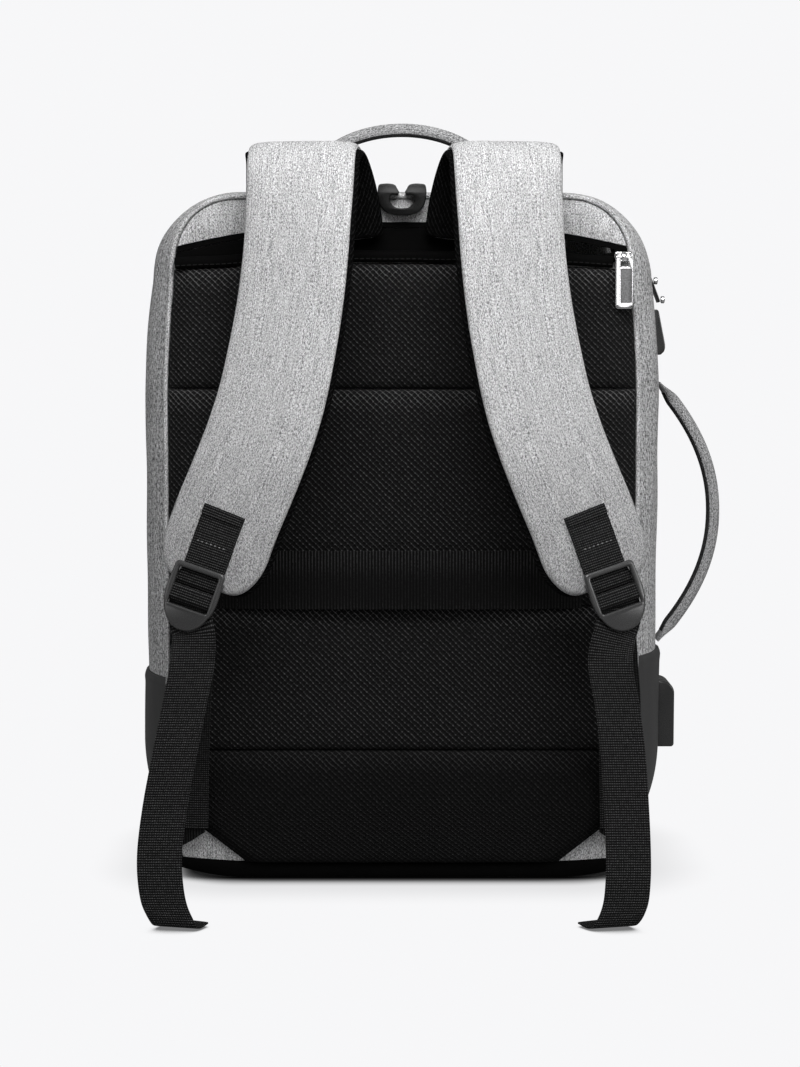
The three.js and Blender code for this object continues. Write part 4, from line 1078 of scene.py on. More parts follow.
@dataclass
class Body:
    """Side walls, main zip, boots, base and front of the bag."""

    boot_proud: float = 2.0
    boot_left: float = 122.0
    boot_right: float = 135.0
    front_bulge: float = 9.0
    front_seam: float = 0.9

    def build(self) -> None:
        """Builds every piece of the body."""
        self.gusset()
        self.boots()
        self.front()

    def gusset(self) -> None:
        """Grey side walls behind and before the zip, and the zip between them."""
        f = FORM
        start, end = f.walk_at(self.boot_right + f.gap), 2 - f.walk_at(self.boot_left + f.gap)
        walk = np.linspace(start, end, 320)
        zip_start, zip_end = f.zip_behind / f.base_depth, (f.zip_behind + f.zip_width) / f.base_depth
        slack = f.gap / f.top_depth
        spans = {"gusset_back": (0.0, zip_start - slack, 44), "gusset_front": (zip_end + slack, 1.0, 34)}
        run = np.linspace(0, 1, len(walk))[:, None] * 1050
        for name, (low, high, columns) in spans.items():
            depth = np.linspace(low, high, columns)
            points = f.gusset(walk, depth)
            place = depth[None, :] * f.base_depth
            to_seam = np.minimum(place - low * f.base_depth, high * f.base_depth - place)
            pucker = np.exp(-to_seam / 4.0) * crumple(run, place * 0.2, 11.0, 3) * 0.18
            relief = pucker + crumple(run, place, 70.0, 5) * 0.22 * smooth(to_seam, 0, 14)
            relief -= 0.5 * np.exp(-((to_seam / 1.6) ** 2))
            piece(name + "_cloth", sheet_mesh(*wall(points, f.cloth, relief)), GUSSET_CLOTH, (name,))
        self.main_zip(walk, zip_start, zip_end)

    def main_zip(self, walk: Array, low: float, high: float) -> None:
        """Zip with two taped edges and a raised row of coils between them."""
        f = FORM
        depth = np.linspace(low, high, 15)
        points = f.gusset(walk, depth)
        place = (depth - (low + high) / 2)[None, :] * f.base_depth
        relief = 0.9 * np.exp(-((place / 1.3) ** 2)) - 0.25 + 0.5 * smooth(np.abs(place), 2.6, 3.6)
        piece(
            "main_zip_tape", sheet_mesh(*wall(points, f.cloth, np.broadcast_to(relief, points.shape[:2]))),
            BINDING, ("main_zip",), "webbing"
        )
        line = f.gusset(walk, np.array([(low + high) / 2]))
        normal = surface_normals(f.gusset(walk, np.array([low, (low + high) / 2, high])), MIDDLE)[:, 1]
        coils = Mesher()
        walked = along_line(line[:, 0])
        marks = np.arange(0.8, walked[-1], 1.7)
        centre = sampled(line[:, 0] + normal * 0.95, walked, marks)
        out = unit(sampled(normal, walked, marks))
        along = unit(sampled(np.gradient(line[:, 0], axis=0), walked, marks))
        across = np.cross(along, out)
        reach = np.array([-1.0, -0.86, 0.0, 0.86, 1.0])
        girth = np.array([0.15, 1.0, 1.0, 1.0, 0.15])
        angle = np.arange(6) * math.pi / 3
        slant = along[:, None] * (reach * 0.35)[:, None]
        spine = (
            centre[:, None] + across[:, None] * (reach * 1.9)[:, None] + slant
            - out[:, None] * (reach**2 * 0.45)[:, None]
        )
        ring = along[:, None] * np.cos(angle)[:, None] * 0.62 + out[:, None] * np.sin(angle)[:, None] * 0.5
        coils.repeat(spine[:, :, None] + ring[:, None] * girth[None, :, None, None])
        piece("main_zip_coils", coils, DARK_PLASTIC, (), "webbing")

    def boots(self) -> None:
        """Coated cloth round the lower corners, and the flat base between them."""
        f = FORM
        depth = np.linspace(0, 1, 56)
        for name, top, side in (("boot_right", self.boot_right, 1), ("boot_left", self.boot_left, -1)):
            walk = np.concatenate(
                [
                    np.linspace(f.walk.base, f.walk.base_corner, 60),
                    np.linspace(f.walk.base_corner, f.walk_at(top), 30)[1:]
                ]
            )
            points = f.gusset(walk if side > 0 else 2 - walk, depth, self.boot_proud)
            place, z = depth[None, :] * f.base_depth, points[..., 2]
            edge = np.minimum(place, f.base_depth - place)
            relief = crumple(
                place, z * 0.25, 34.0, 11 + side
            ) * 0.45 * smooth(edge, 0, 12) * smooth(z, 4, 40)
            relief -= 0.7 * np.exp(-((edge / 1.8) ** 2)) + 0.8 * np.exp(-(((top - z) / 1.4) ** 2))
            relief += 0.35 * np.exp(-(((top - 4.5 - z) / 2.2) ** 2))
            relief *= smooth(z, 0.3, 6)
            piece(name + "_cloth", sheet_mesh(*wall(points, f.cloth, relief)), COATED, (name,), "coated")
        half = f.reach * (f.seam.half - f.seam.base_corner) - f.gap
        x, y = np.meshgrid(np.linspace(-half, half, 60), np.linspace(f.back_edge, float(f.front_at(0)), 30))
        low = np.stack([x, y, np.zeros_like(x)], axis=-1)
        piece("base_cloth", sheet_mesh(low, low + UP * f.cloth), COATED, ("base_panel",), "coated")

    def front(self) -> None:
        """Crowned front: coated cloth below a slanted seam, grey cloth above it."""
        f = FORM
        top = f.height * f.seam.top

        def face(x: Array, z: Array) -> Array:
            """Y of the front's outer face at a place."""
            across = 1 - np.minimum(1, np.abs(x / (f.reach * f.seam.half))) ** 4
            upright = 1 - np.abs(2 * z / top - 1) ** 4
            soft = crumple(x, z, 90.0, 21) * 0.6 * across * upright
            return f.front_at(z) + self.front_seam + f.cloth + self.front_bulge * across * upright + soft

        def slant(x: Array) -> Array:
            """Height of the seam between the two front panels."""
            return f.height * 0.36 + x * 0.12

        rows = 0.5 - 0.5 * np.cos(np.linspace(0, math.pi, 70))
        share = np.sin(np.linspace(-math.pi / 2, math.pi / 2, 110))
        low = sheet_grid(lambda x: f.gap + 0 * x, slant, 0.0, rows, share, face)
        high = sheet_grid(lambda x: slant(x) + f.gap, lambda x: top + 0 * x, 0.0, rows, share, face)
        for name, outer, finish, slot in (
            ("front_panel_lower", low, COATED, "coated"), ("front_panel_upper", high, SIDE_CLOTH, "fabric")
        ):
            piece(
                name + "_cloth", sheet_mesh(outer, outer - np.array([0, f.cloth, 0])), finish, (name,), slot
            )
        seam = Mesher()
        x = np.linspace(-0.86, 0.86, 200) * f.reach
        for shift in (-3.0, 3.2):
            z = slant(x) + shift
            stitch_row(seam, np.stack([x, face(x, z) + 0.1, z], axis=-1), -BEHIND, 3.6, 2.6, 0.35)
        piece("front_seam_stitches", seam, THREAD_BLACK, (), "webbing")


def sheet_grid(low: object, high: object, inset: float, rows: Array, share: Array, face: object) -> Array:
    """Sheet between two edges that run across the bag, with the seam's outline as its sides.

    Args:
        low: height of the lower edge at X.
        high: height of the upper edge at X.
        inset: distance from the seam to the sheet's sides.
        rows: shares from the lower edge to the upper one.
        share: shares of the half width, from -1 to 1.
        face: Y of the outer face at X and Z.

    Returns:
        Points, rows by columns.
    """
    rows, share = rows[:, None], share[None, :]
    middle = mix(float(low(np.array(0.0))), float(high(np.array(0.0))), rows)
    rough = share * FORM.half_width_at(FORM.seam, middle, inset)
    z = mix(low(rough), high(rough), rows)
    x = share * FORM.half_width_at(FORM.seam, z, inset)
    return np.stack([x, face(x, z), z], axis=-1)


@dataclass
class Back:
    """Back panel, yoke, back zip, its pocket edge, the piping and the base binding."""

    yoke_crown: float = 1.6

    def build(self) -> None:
        """Builds every piece of the back."""
        self.panels()
        self.piping()
        self.base_binding()

    def panels(self) -> None:
        """Grey panel behind the padding, pocket band, zip tape and yoke."""
        f = FORM
        share = np.sin(np.linspace(-math.pi / 2, math.pi / 2, 150))
        even = np.linspace(-1, 1, 220)
        rows = 0.5 - 0.5 * np.cos(np.linspace(0, math.pi, 60))
        short = np.linspace(0, 1, 8)
        top = f.height * f.seam.top - f.inset

        def flat(x: Array, z: Array) -> Array:
            """Y of a flat face."""
            return f.back + 0 * (x + z)

        def band_low(x: Array) -> Array:
            """Lower edge of the pocket band."""
            return f.binding_top(x) - f.binding_height / 2

        def crowned(x: Array, z: Array) -> Array:
            """Y of the yoke: it swells a little from its seams, with soft dents."""
            side = f.half_width_at(f.seam, z, f.inset) - np.abs(x)
            edge = np.minimum(np.minimum(side, top - z), z - f.arch(x))
            soft = crumple(x, z, 34.0, 31) * 0.25 * smooth(edge, 0, 9)
            return f.back + 0.5 - self.yoke_crown * smooth(edge, -3, 9) - soft

        table = {
            "back_panel": (
                lambda x: f.inset + 0 * x, lambda x: band_low(x) - f.gap, rows, share, flat, SIDE_CLOTH,
                "fabric"
            ),
            "pocket_band": (band_low, f.pocket_edge, short, even, flat, BINDING, "mesh"),
            "back_zip_tape": (
                lambda x: f.arch(x) - f.gap - f.zip_tape, lambda x: f.arch(x) - f.gap, short, even, flat,
                BINDING, "webbing"
            ),
            "yoke": (f.arch, lambda x: top + 0 * x, rows, share, crowned, SIDE_CLOTH, "fabric"),
        }
        for name, (low, high, down, across, face, finish, slot) in table.items():
            outer = sheet_grid(low, high, f.inset, down, across, face)
            inner = outer.copy()
            inner[..., 1] = f.back + f.cloth
            piece(name + "_cloth", sheet_mesh(outer, inner), finish, (name,), slot)

    def piping(self) -> None:
        """Cloth piping over the back seam, from just over the floor round the top and down again."""
        f = FORM
        start = mix(f.walk.base, f.walk.base_corner, 0.57)
        half = np.linspace(start, 1, 300)
        x, z = f.half_outline(f.seam, half)
        right = np.stack([x, np.full_like(x, f.piping_face + f.piping), z], axis=-1)
        left = right[::-1][1:] * np.array([-1.0, 1.0, 1.0])
        at = np.concatenate([right, left])
        at = sampled(at, along_line(at), np.linspace(0, along_line(at)[-1], 620))
        size = np.full(len(at), f.piping)
        ribbon = Ribbon(at, np.broadcast_to(-BEHIND, at.shape), size, size)
        piece(
            "back_piping_cloth", tube_mesh(ribbon.rings(superellipse(14, 2.0), np.array([1.0, 0, 0]))),
            SIDE_CLOTH, ("back_piping",)
        )

    def base_binding(self) -> None:
        """Black rolled edge along the foot of the back."""
        f = FORM
        x = np.linspace(-1, 1, 160)[None, :] * f.reach * 0.865
        low = 0.8 + np.maximum(0, np.abs(x) / f.reach - 0.6) ** 2 * 100
        high = 9.6 + 3.4 * (np.abs(x) / (f.reach * 0.82)) ** 4
        share = np.linspace(0, 1, 13)[:, None]
        z = mix(low, high, share)
        swell = 2.2 * (1 - np.abs(2 * share - 1) ** 2.2) ** 0.6 + 0.12 * crumple(x, z, 22.0, 41)
        y = f.back - f.gap - np.maximum(swell, 0.15)
        outer = np.stack(np.broadcast_arrays(x, y, z), axis=-1)
        inner = outer.copy()
        inner[..., 1] = f.back - f.gap
        piece("base_binding_cloth", sheet_mesh(outer, inner), BINDING, ("base_binding",), "webbing")


@dataclass
class Padding:
    """Quilted air mesh on the back, its bound top edge and the luggage strap over it."""

    seam_gap: float = 1.2
    seam_round: float = 7.0
    seams: tuple[float, ...] = (0.0245, 0.19, 0.4, 0.713)
    strap_width: float = 35.0
    strap_span: float = 217.0
    strap_bow: float = 6.5
    strap_thickness: float = 1.6
    strap_height: float = 0.442

    def build(self) -> None:
        """Builds the pads, the binding and the luggage strap."""
        names = ("pad_bottom", "pad_middle", "pad_upper", "pad_top")
        f = FORM
        edges = [f.height * share for share in self.seams]
        for k, name in enumerate(names):
            low = edges[k] + (self.seam_gap / 2 + 0.05 if k else 0.0)
            high = edges[k + 1] + self.seam_gap / 2 - 0.05 if k < 3 else None
            self.pad(name, low, high)
        self.binding()
        self.luggage_strap()

    def pad(self, name: str, low: float, high: float | None) -> None:
        """One quilted pad, thin at its side folds and drawn down at both seams."""
        f = FORM
        across = np.concatenate(
            [np.linspace(-1, -0.9, 5)[:-1], np.linspace(-0.9, 0.9, 49), np.linspace(0.9, 1, 5)[1:]]
        )
        rows = 0.5 - 0.5 * np.cos(np.linspace(0, math.pi, 26))

        def top(x: Array) -> Array:
            """Height of the pad's upper edge."""
            return high + 0 * x if high else f.binding_top(x) - f.binding_height - f.gap

        v, share = rows[:, None], across[None, :]
        middle = mix(low, float(top(np.array(0.0))), v)
        half = f.pad_half(middle)
        inner_half = half - f.pad_bevel
        x = np.where(
            np.abs(share) < 0.9, share / 0.9 * inner_half,
            np.sign(share) * (inner_half + (np.abs(share) - 0.9) * 10 * f.pad_bevel)
        )
        z = mix(low, top(x), v)
        from_seam = np.minimum(z - low, top(x) - z)
        roll = np.sqrt(1 - (1 - np.clip(from_seam / self.seam_round, 0, 1)) ** 2)
        rise = f.pad_rise(half - np.abs(x)) * mix(0.3, 1.0, roll)
        outer = np.stack([x, f.pad_back - rise, z], axis=-1)
        inner = np.stack([x, f.pad_back + 0 * x, z], axis=-1)
        mesher = Mesher()
        mesher.sheet(outer, inner, from_top=True)
        # The bottom pad takes the darker copy of the mesh, a painted shade low down.
        finish = SHADED_LOW_MESH if name == "pad_bottom" else AIR_MESH
        made = piece(name + "_quilt", mesher, finish, (name,), "mesh", sharp=50)
        points = mesh_points(made.data) / MM
        px, py, pz = points.T
        side = f.pad_half(pz) - np.abs(px)
        seam = np.minimum(pz - low, top(px) - pz)
        held = 1 - smooth(np.minimum(side / f.pad_bevel, seam / self.seam_round), 0.1, 1.0)
        held = np.maximum(held, (py > f.pad_back - 0.05).astype(float))
        inflate(made, 0.55, held)
        subdivide(made, 1)

    def binding(self) -> None:
        """Rolled black binding on the padding's top edge."""
        f = FORM
        depth = 7.8
        x = np.linspace(-f.reach * 0.845, f.reach * 0.785, 200)
        at = np.stack(
            [x, np.full_like(x, f.pad_back - depth / 2), f.binding_top(x) - f.binding_height / 2], axis=-1
        )
        at[:, 2] += 0.25 * crumple(x, 0 * x, 40.0, 51)
        one = np.ones_like(x)
        ribbon = Ribbon(at, np.broadcast_to(BEHIND, at.shape), one * depth / 2, one * f.binding_height / 2)
        piece(
            "mesh_binding_cloth", tube_mesh(ribbon.rings(superellipse(20, 2.6), UP)), BINDING,
            ("mesh_binding",), "webbing"
        )
        stitches = Mesher()
        line = at + BEHIND * (depth / 2 - 0.1) - UP * 1.6
        stitch_row(stitches, line, BEHIND, 3.4, 2.4, 0.3)
        piece("mesh_binding_stitches", stitches, THREAD_BLACK, (), "webbing")

    def luggage_strap(self) -> None:
        """Wide webbing that slips over a suitcase handle, bar-tacked at both ends."""
        f = FORM
        z = f.height * self.strap_height
        seat = f.pad_back - f.pad_thickness - f.gap - self.strap_thickness / 2
        share = np.linspace(-1, 1, 160)
        at = np.stack(
            [share * self.strap_span / 2 - 1.5, seat - self.strap_bow * (1 - share**4), z + 0 * share],
            axis=-1
        )
        one = np.ones_like(share)
        ribbon = Ribbon(
            at, np.broadcast_to(UP, at.shape), one * self.strap_width / 2, one * self.strap_thickness / 2
        )
        piece(
            "luggage_strap_webbing", tube_mesh(ribbon.rings(superellipse(44, 9.0), BEHIND)), LUGGAGE_WEB,
            ("luggage_strap",), "webbing"
        )
        tacks = Mesher()
        for side in (-1, 1):
            for inset in (3.0, 12.0):
                x = side * (self.strap_span / 2 - inset) - 1.5
                y = (
                    seat - self.strap_bow * (1 - ((x + 1.5) / (self.strap_span / 2)) ** 4)
                    - self.strap_thickness / 2
                )
                ends = np.linspace(-0.46, 0.46, 12) * self.strap_width
                line = np.stack([np.full(12, x), np.full(12, y - 0.05), z + ends], axis=-1)
                stitch_row(tacks, line, BEHIND, 2.6, 1.9, 0.3)
        piece("luggage_strap_stitches", tacks, THREAD_BLACK, (), "webbing")


def subdivide(made: bpy.types.Object, levels: int) -> None:
    """Adds a smooth subdivision, the same in view and render."""
    smoother = made.modifiers.new("soft", "SUBSURF")
    smoother.levels = smoother.render_levels = levels
    smoother.uv_smooth = "NONE"


@dataclass
class Strap:
    """One shoulder strap with its webbing, buckle and cloth tab. Side is 1 at +X and -1 at -X."""

    side: int
    name: str
    thickness: float = 11.0
    width_top: float = 62.5
    width_end: float = 65.0
    reach: float = 73.0
    rise: float = 19.0
    turn: float = 15.0
    shift: float = 1.3
    rounding: float = 26.0
    webbing: float = 25.0
    tape: float = 1.3
    patch: float = 34.0
    overlap: float = 10.0
    wing: float = 2.2
    tail_reach: float = 118.0
    clearance: float = 0.6
    buckle_width: float = 31.0
    buckle_length: float = 37.5
    buckle_rail: float = 2.6
    buckle_base: float = 5.0
    buckle_thickness: float = 3.4
    top_bar: float = 3.4
    tab: float = 24.6
    loop_slack: float = 1.6

    def __post_init__(self) -> None:
        """Works out the strap's middle line from its places, as shares of the bag's sizes."""
        rows = np.array(STRAP_PATH)
        seat = FORM.back - FORM.gap - self.thickness / 2
        z = np.where(
            rows[:, 2] <= 1, FORM.height * rows[:, 2], FORM.height + (rows[:, 2] - 1) / 0.047 * self.rise
        )
        x = self.side * rows[:, 0] * FORM.reach + self.shift
        places = np.stack([x, seat - (rows[:, 1] - rows[0, 1]) * self.reach, z], axis=-1)
        self.line = spline(places, 200)
        self.walked = along_line(self.line)
        self.total = float(self.walked[-1])

    def at(self, share: Array) -> Array:
        """Places on the middle line."""
        return sampled(self.line, self.walked, np.asarray(share) * self.total)

    def across(self, share: Array) -> Array:
        """Direction to the strap's inner edge, which is turned towards -Y once over the arch."""
        turn = math.radians(self.turn) * smooth(share, 0.1, 0.4)
        return np.stack([-self.side * np.cos(turn), -np.sin(turn), 0 * turn], axis=-1)

    def axes(self, share: float) -> tuple[Array, Array, Array, Array]:
        """Place on the middle line with the directions inward, along and out."""
        at = self.at(np.array([share]))[0]
        step = self.at(np.array([share - 1e-3, min(1.0, share + 1e-3)]))
        along = unit(step[1] - step[0])
        inward = self.across(np.array([share]))[0]
        inward = unit(inward - along * (inward @ along))
        out = unit(np.cross(along, inward))
        return at, inward, along, out * (-1.0 if out[1] > 0 else 1.0)

    def ribbon(self, extra: float, bump: float = 0.0) -> Ribbon:
        """The strap's band: its width grows to the end, where its corners are rounded."""
        round_share = 1 - self.rounding / self.total
        share = np.concatenate(
            [
                np.linspace(0, round_share, 92),
                round_share + (1 - round_share) * (1 - (1 - np.linspace(0, 1, 15)[1:]) ** 1.7)
            ]
        )
        width = mix(self.width_top, self.width_end, smooth(share, 0.3, 0.8))
        left = np.clip((1 - share) / (1 - round_share), 0, 1)
        rounding = mix(0.5, 1.0, np.sqrt(1 - (1 - left) ** 2))
        arch = bump * np.exp(-(((share - 0.2) / 0.022) ** 2))
        half = width / 2 * rounding + extra + arch
        return Ribbon(self.at(share), self.across(share), half, np.full_like(share, self.thickness / 2))

    def build(self) -> None:
        """Builds every piece of the strap."""
        self.foam()
        self.patch_webbing()
        self.buckle()
        self.long_webbing()
        self.wing_tab()

    def foam(self) -> None:
        """Padded strap: grey cover above, air mesh below."""
        angle = np.linspace(0, math.pi, 25)
        arc = np.stack(
            [np.sign(np.cos(angle)) * np.abs(np.cos(angle)) ** 0.42, np.sin(angle) ** 0.62], axis=-1
        )
        floor = np.stack([np.linspace(-1, 1, 17)[1:-1], np.zeros(15)], axis=-1)
        upper = np.concatenate([arc * [1, 0.98] + [0, 0.02], floor + [0, 0.02]])
        lower = np.concatenate([arc * [1, -0.96] - [0, 0.04], floor - [0, 0.04]])
        facing = np.array([0.0, 1.0, 0.0])
        for kind, section, extra, bump, finish, slot in (
            ("cover", upper, 0.0, 0.0, STRAP_CLOTH, "strap_fabric"),
            ("mesh", lower * self.edge_swell(lower), 0.8, 1.8, EDGE_MESH, "mesh"),
        ):
            made = piece(
                f"strap_{kind}_{self.name}_pad", tube_mesh(self.ribbon(extra, bump).rings(section, facing)),
                finish, (f"strap_{kind}_{self.name}",), slot, sharp=60
            )
            held = self.held_at_seam(made, section)
            inflate(made, 0.7, held)
            subdivide(made, 1)

    def edge_swell(self, section: Array) -> Array:
        """Factors that let the mesh stand out past the cover on the inner side."""
        inner = (section[:, 0] > 0.5) * smooth(-section[:, 1], 0.02, 0.3)
        return np.stack([1 + 0.05 * inner, np.ones(len(section))], axis=-1)

    def held_at_seam(self, made: bpy.types.Object, section: Array) -> Array:
        """Share by which each point is held: all at the cover's seam and the ends, none on its face."""
        points = mesh_points(made.data) / MM
        share = np.linspace(0, 1, 400)
        line, across = self.at(share), self.across(share)
        held = np.zeros(len(points))
        nearest = ((points[:, None] - line[None, ::4]) ** 2).sum(-1).argmin(1) * 4
        width = mix(self.width_top, self.width_end, smooth(share[nearest], 0.3, 0.8)) / 2
        offset = np.abs(((points - line[nearest]) * across[nearest]).sum(-1)) / width
        held = np.maximum(held, smooth(offset, 0.8, 0.97))
        ends = np.minimum(share[nearest], 1 - share[nearest]) * self.total
        return np.maximum(held, 1 - smooth(ends, 2.0, 10.0))

    def on_strap(self, back: float, off: float) -> tuple[Array, Array]:
        """Place over the strap's face, a way up from the buckle's top bar, with its direction across."""
        at, inward, _, out = self.axes(1 - (self.overlap + back) / self.total)
        return at + out * (self.thickness / 2 + off), inward

    def buckle_axes(self) -> tuple[Array, Array, Array, Array]:
        """The buckle's frame: its top bar on the strap's face, and inward, along and out."""
        at, inward, along, out = self.axes(1.0)
        return at - along * self.overlap + out * self.thickness / 2, inward, along, out

    def tape_ribbon(self, places: list[tuple[Array, Array]]) -> Ribbon:
        """Webbing through places that each have a direction across."""
        at, across = (np.array(values) for values in zip(*places))
        size = np.ones(len(at))
        return Ribbon(at, across, size * self.webbing / 2, size * self.tape / 2)

    def patch_webbing(self) -> None:
        """Webbing sewn on the strap's end, looped round the buckle's fixed bar and back under itself."""
        origin, inward, along, out = self.buckle_axes()
        half = self.tape / 2
        under = FORM.gap + half
        over = under + self.tape + FORM.gap
        start, end, low, high = 5.4, 9.4, 2.2, 3.7
        top, turn, below = (
            high + FORM.gap + half, end + FORM.gap + half + self.loop_slack, low - FORM.gap - half
        )
        loop = [
            (0.4, over), (2, over + 0.2), (3.6, top - 0.75), (start - 0.2, top), (end, top),
            (end + 1.7, top - 0.3),
            (turn, top - 1.3), (turn, below + 1.3), (end + 1.2, below + 0.3), (end - 0.6, below),
            (start, under + 0.2), (2, under),
        ]
        backs = [self.patch * share for share in (1, 0.66, 0.33)]
        places = [self.on_strap(back, over) for back in backs]
        places += [(origin + along * a + out * b, inward) for a, b in loop]
        places += [self.on_strap(back, under) for back in reversed(backs)]
        ribbon = self.tape_ribbon(places).refined(0.7)
        walked = along_line(ribbon.at)
        ribbon.thick *= 1 + 0.55 * (1 - smooth(walked, 3.6, 4.6))
        piece(
            f"strap_webbing_{self.name}_band", tube_mesh(ribbon.rings(superellipse(36, 9.0), out)), WEBBING,
            (f"strap_webbing_{self.name}",), "webbing"
        )
        hem = Mesher()
        places = [
            self.on_strap(back, over + self.tape)
            for back in np.linspace(self.patch - 5.2, self.patch + 0.3, 6)
        ]
        fold = self.tape_ribbon(places)
        fold.thick *= 0.85
        hem.tube(fold.refined(0.6).rings(superellipse(36, 5.0), out))
        piece(f"strap_webbing_{self.name}_hem", hem, WEBBING, (), "webbing")
        pale, black = Mesher(), Mesher()
        for back, mesher, pitch, length, width in (
            (13.5, pale, 2.7, 1.15, 0.8), (28.5, black, 2.2, 1.6, 0.86), (20.0, black, 2.2, 1.6, 0.86)
        ):
            at, across = self.on_strap(back, over + half + 0.05)
            line = at + across * (np.linspace(-0.5, 0.5, 12) * self.webbing * width)[:, None]
            stitch_row(mesher, line, out, pitch, length, 0.34)
        for edge in (-0.43, 0.43):
            line = np.array(
                [
                    self.on_strap(back, over + half + 0.05)[0] + inward * edge * self.webbing
                    for back in np.linspace(13.5, 31, 8)
                ]
            )
            stitch_row(black, line, out, 2.2, 1.6, 0.3)
        piece(f"strap_webbing_{self.name}_dots", pale, THREAD_GREY, (), "webbing")
        piece(f"strap_webbing_{self.name}_stitches", black, THREAD_BLACK, (), "webbing")

    def buckle(self) -> None:
        """Ladder buckle: a rounded frame with two bars and a thumb tab that curves back."""
        half, length = self.buckle_width / 2, self.buckle_length
        t = np.linspace(0, 1, 15)[:, None]

        def bend(a: tuple[float, float], b: tuple[float, float], c: tuple[float, float]) -> Array:
            """Parabola from a to c with its tangents through b."""
            a, b, c = (np.array(p, float) for p in (a, b, c))
            return (1 - t) ** 2 * a + 2 * t * (1 - t) * b + t**2 * c

        right = np.concatenate([
            bend((half - 3, 0), (half, 0), (half, 3)), [[half + 0.3, 8.0]],
            bend((half + 0.6, 14), (half + 0.6, 22), (half - 1.4, 26)),
            bend((half - 1.4, 26), (half * 0.62, length), (0, length))[1:],
        ])
        outer = np.concatenate([right, (right * [-1, 1])[::-1][1:]])
        inner = half - self.buckle_rail - 0.5
        window = rounded(
            [(-inner, self.top_bar), (inner, self.top_bar), (inner, self.tab), (-inner, self.tab)], 1.2
        )
        mesh = flat_piece([outer, window], self.buckle_thickness, 1.4)
        points = mesh_points(mesh)
        points[:, 2] += self.buckle_base + self.buckle_thickness / 2
        past = np.maximum(points[:, 1] - self.tab, 0)
        points[:, 2] -= 0.009 * past**2 * (points[:, 2] > 0)
        lip = np.exp(-(((points[:, 1] - self.tab - 0.6) / 1.2) ** 2)) * (np.abs(points[:, 0]) < inner)
        points[:, 2] += 0.5 * lip * (points[:, 2] > self.buckle_base + 2)
        mesh.vertices.foreach_set("co", points.astype(np.float32).ravel())
        origin, inward, along, out = self.buckle_axes()
        axes = np.stack([inward, along, out])
        frame_mesh = placed(mesh, origin, axes)
        piece(
            f"buckle_{self.name}_frame", frame_mesh, LIT_BUCKLE_PLASTIC, (f"buckle_{self.name}",), "plastic",
            sharp=35
        )
        bars = Mesher()
        for start, end, low, high in ((5.4, 9.4, 2.2, 3.7), (15.4, 20.8, 3.6, 6.0)):
            x = np.linspace(-half + 1.0, half - 1.0, 24)
            local = np.stack(
                [x, np.full_like(x, (start + end) / 2), np.full_like(x, (low + high) / 2)], axis=-1
            )
            one = np.ones_like(x)
            at = origin + local @ axes
            ribbon = Ribbon(
                at, np.broadcast_to(along, at.shape), one * (end - start) / 2, one * (high - low) / 2
            )
            bars.tube(ribbon.rings(superellipse(16, 4.0), out))
            for edge in (-1, 1):
                lug = np.linspace(low, self.buckle_base + 1, 6)
                local = np.stack(
                    [np.full(6, edge * (half - 1.5)), np.full(6, (start + end) / 2), lug], axis=-1
                )
                at = origin + local @ axes
                one = np.ones(6)
                post = Ribbon(at, np.broadcast_to(along, at.shape), one * (end - start) / 2, one * 1.1)
                bars.tube(post.rings(superellipse(12, 4.0), inward))
        piece(f"buckle_{self.name}_bars", bars, PLASTIC, (), "plastic")

    def long_webbing(self) -> None:
        """Long webbing: sewn at the lower corner, up behind the buckle, over its sliding bar and
        down in front to a free end on the floor."""
        f = FORM
        origin, inward, along, out = self.buckle_axes()
        half = self.tape / 2
        start, end, high = 15.4, 20.8, 6.0
        top = high + f.gap + half
        tail_off = self.buckle_base - f.gap - half - 0.2
        load_off = tail_off - self.tape - 2 * f.gap
        through, back = start - f.gap - half - self.loop_slack / 2, end + f.gap + half
        local = [
            (38, load_off - 1, 7), (32, load_off - 0.6, 4), (26, load_off - 0.2, 1.4), (20, load_off, 0),
            (16.6, load_off, 0),
            (through + 0.3, load_off + 0.5, 0), (through, load_off + 1.5, 0), (through, top - 1.2, 0),
            (through + 0.5, top - 0.25, 0), (start + 1, top, 0), (end - 1, top, 0),
            (back - 0.5, top - 0.25, 0),
            (back, top - 1.2, 0), (back + 0.1, tail_off + 1.2, 0), (back + 0.7, tail_off + 0.3, 0),
            (back + 2, tail_off, 0),
            (28, tail_off, 1.4), (32, tail_off, 4.2), (36, tail_off, 7.4),
        ]
        seat = f.pad_back - f.pad_thickness - f.gap - self.wing - f.gap - half
        plain = np.array([-float(self.side), 0.0, 0.0])
        anchor = [
            (0.822, 0, 0.08), (0.818, 1, 0.15), (0.806, 14, 0.22), (0.786, 36, 0.29), (0.762, 56, 0.345)
        ]
        places = [
            (np.array([self.side * x * f.reach + self.shift, seat - y, f.height * z]), plain)
            for x, y, z in anchor
        ]
        places += [(origin + inward * c + along * a + out * b, inward) for a, b, c in local]
        drop = origin[2] - self.clearance - half
        for x, y, z, turn in TAILS[self.name]:
            angle = math.radians(turn)
            at = np.array(
                [
                    self.side * x * f.reach, f.back - y * self.tail_reach,
                    self.clearance + half + z * drop * 0.86
                ]
            )
            places.append((at, np.array([-self.side * math.cos(angle), math.sin(angle), 0.0])))
        ribbon = self.lifted(self.tape_ribbon(places), len(TAILS[self.name])).refined(0.9)
        rings = ribbon.rings(superellipse(40, 9.0), BEHIND)
        piece(
            f"adjust_webbing_{self.name}_band", tube_mesh(rings), WEBBING, (f"adjust_webbing_{self.name}",),
            "webbing"
        )

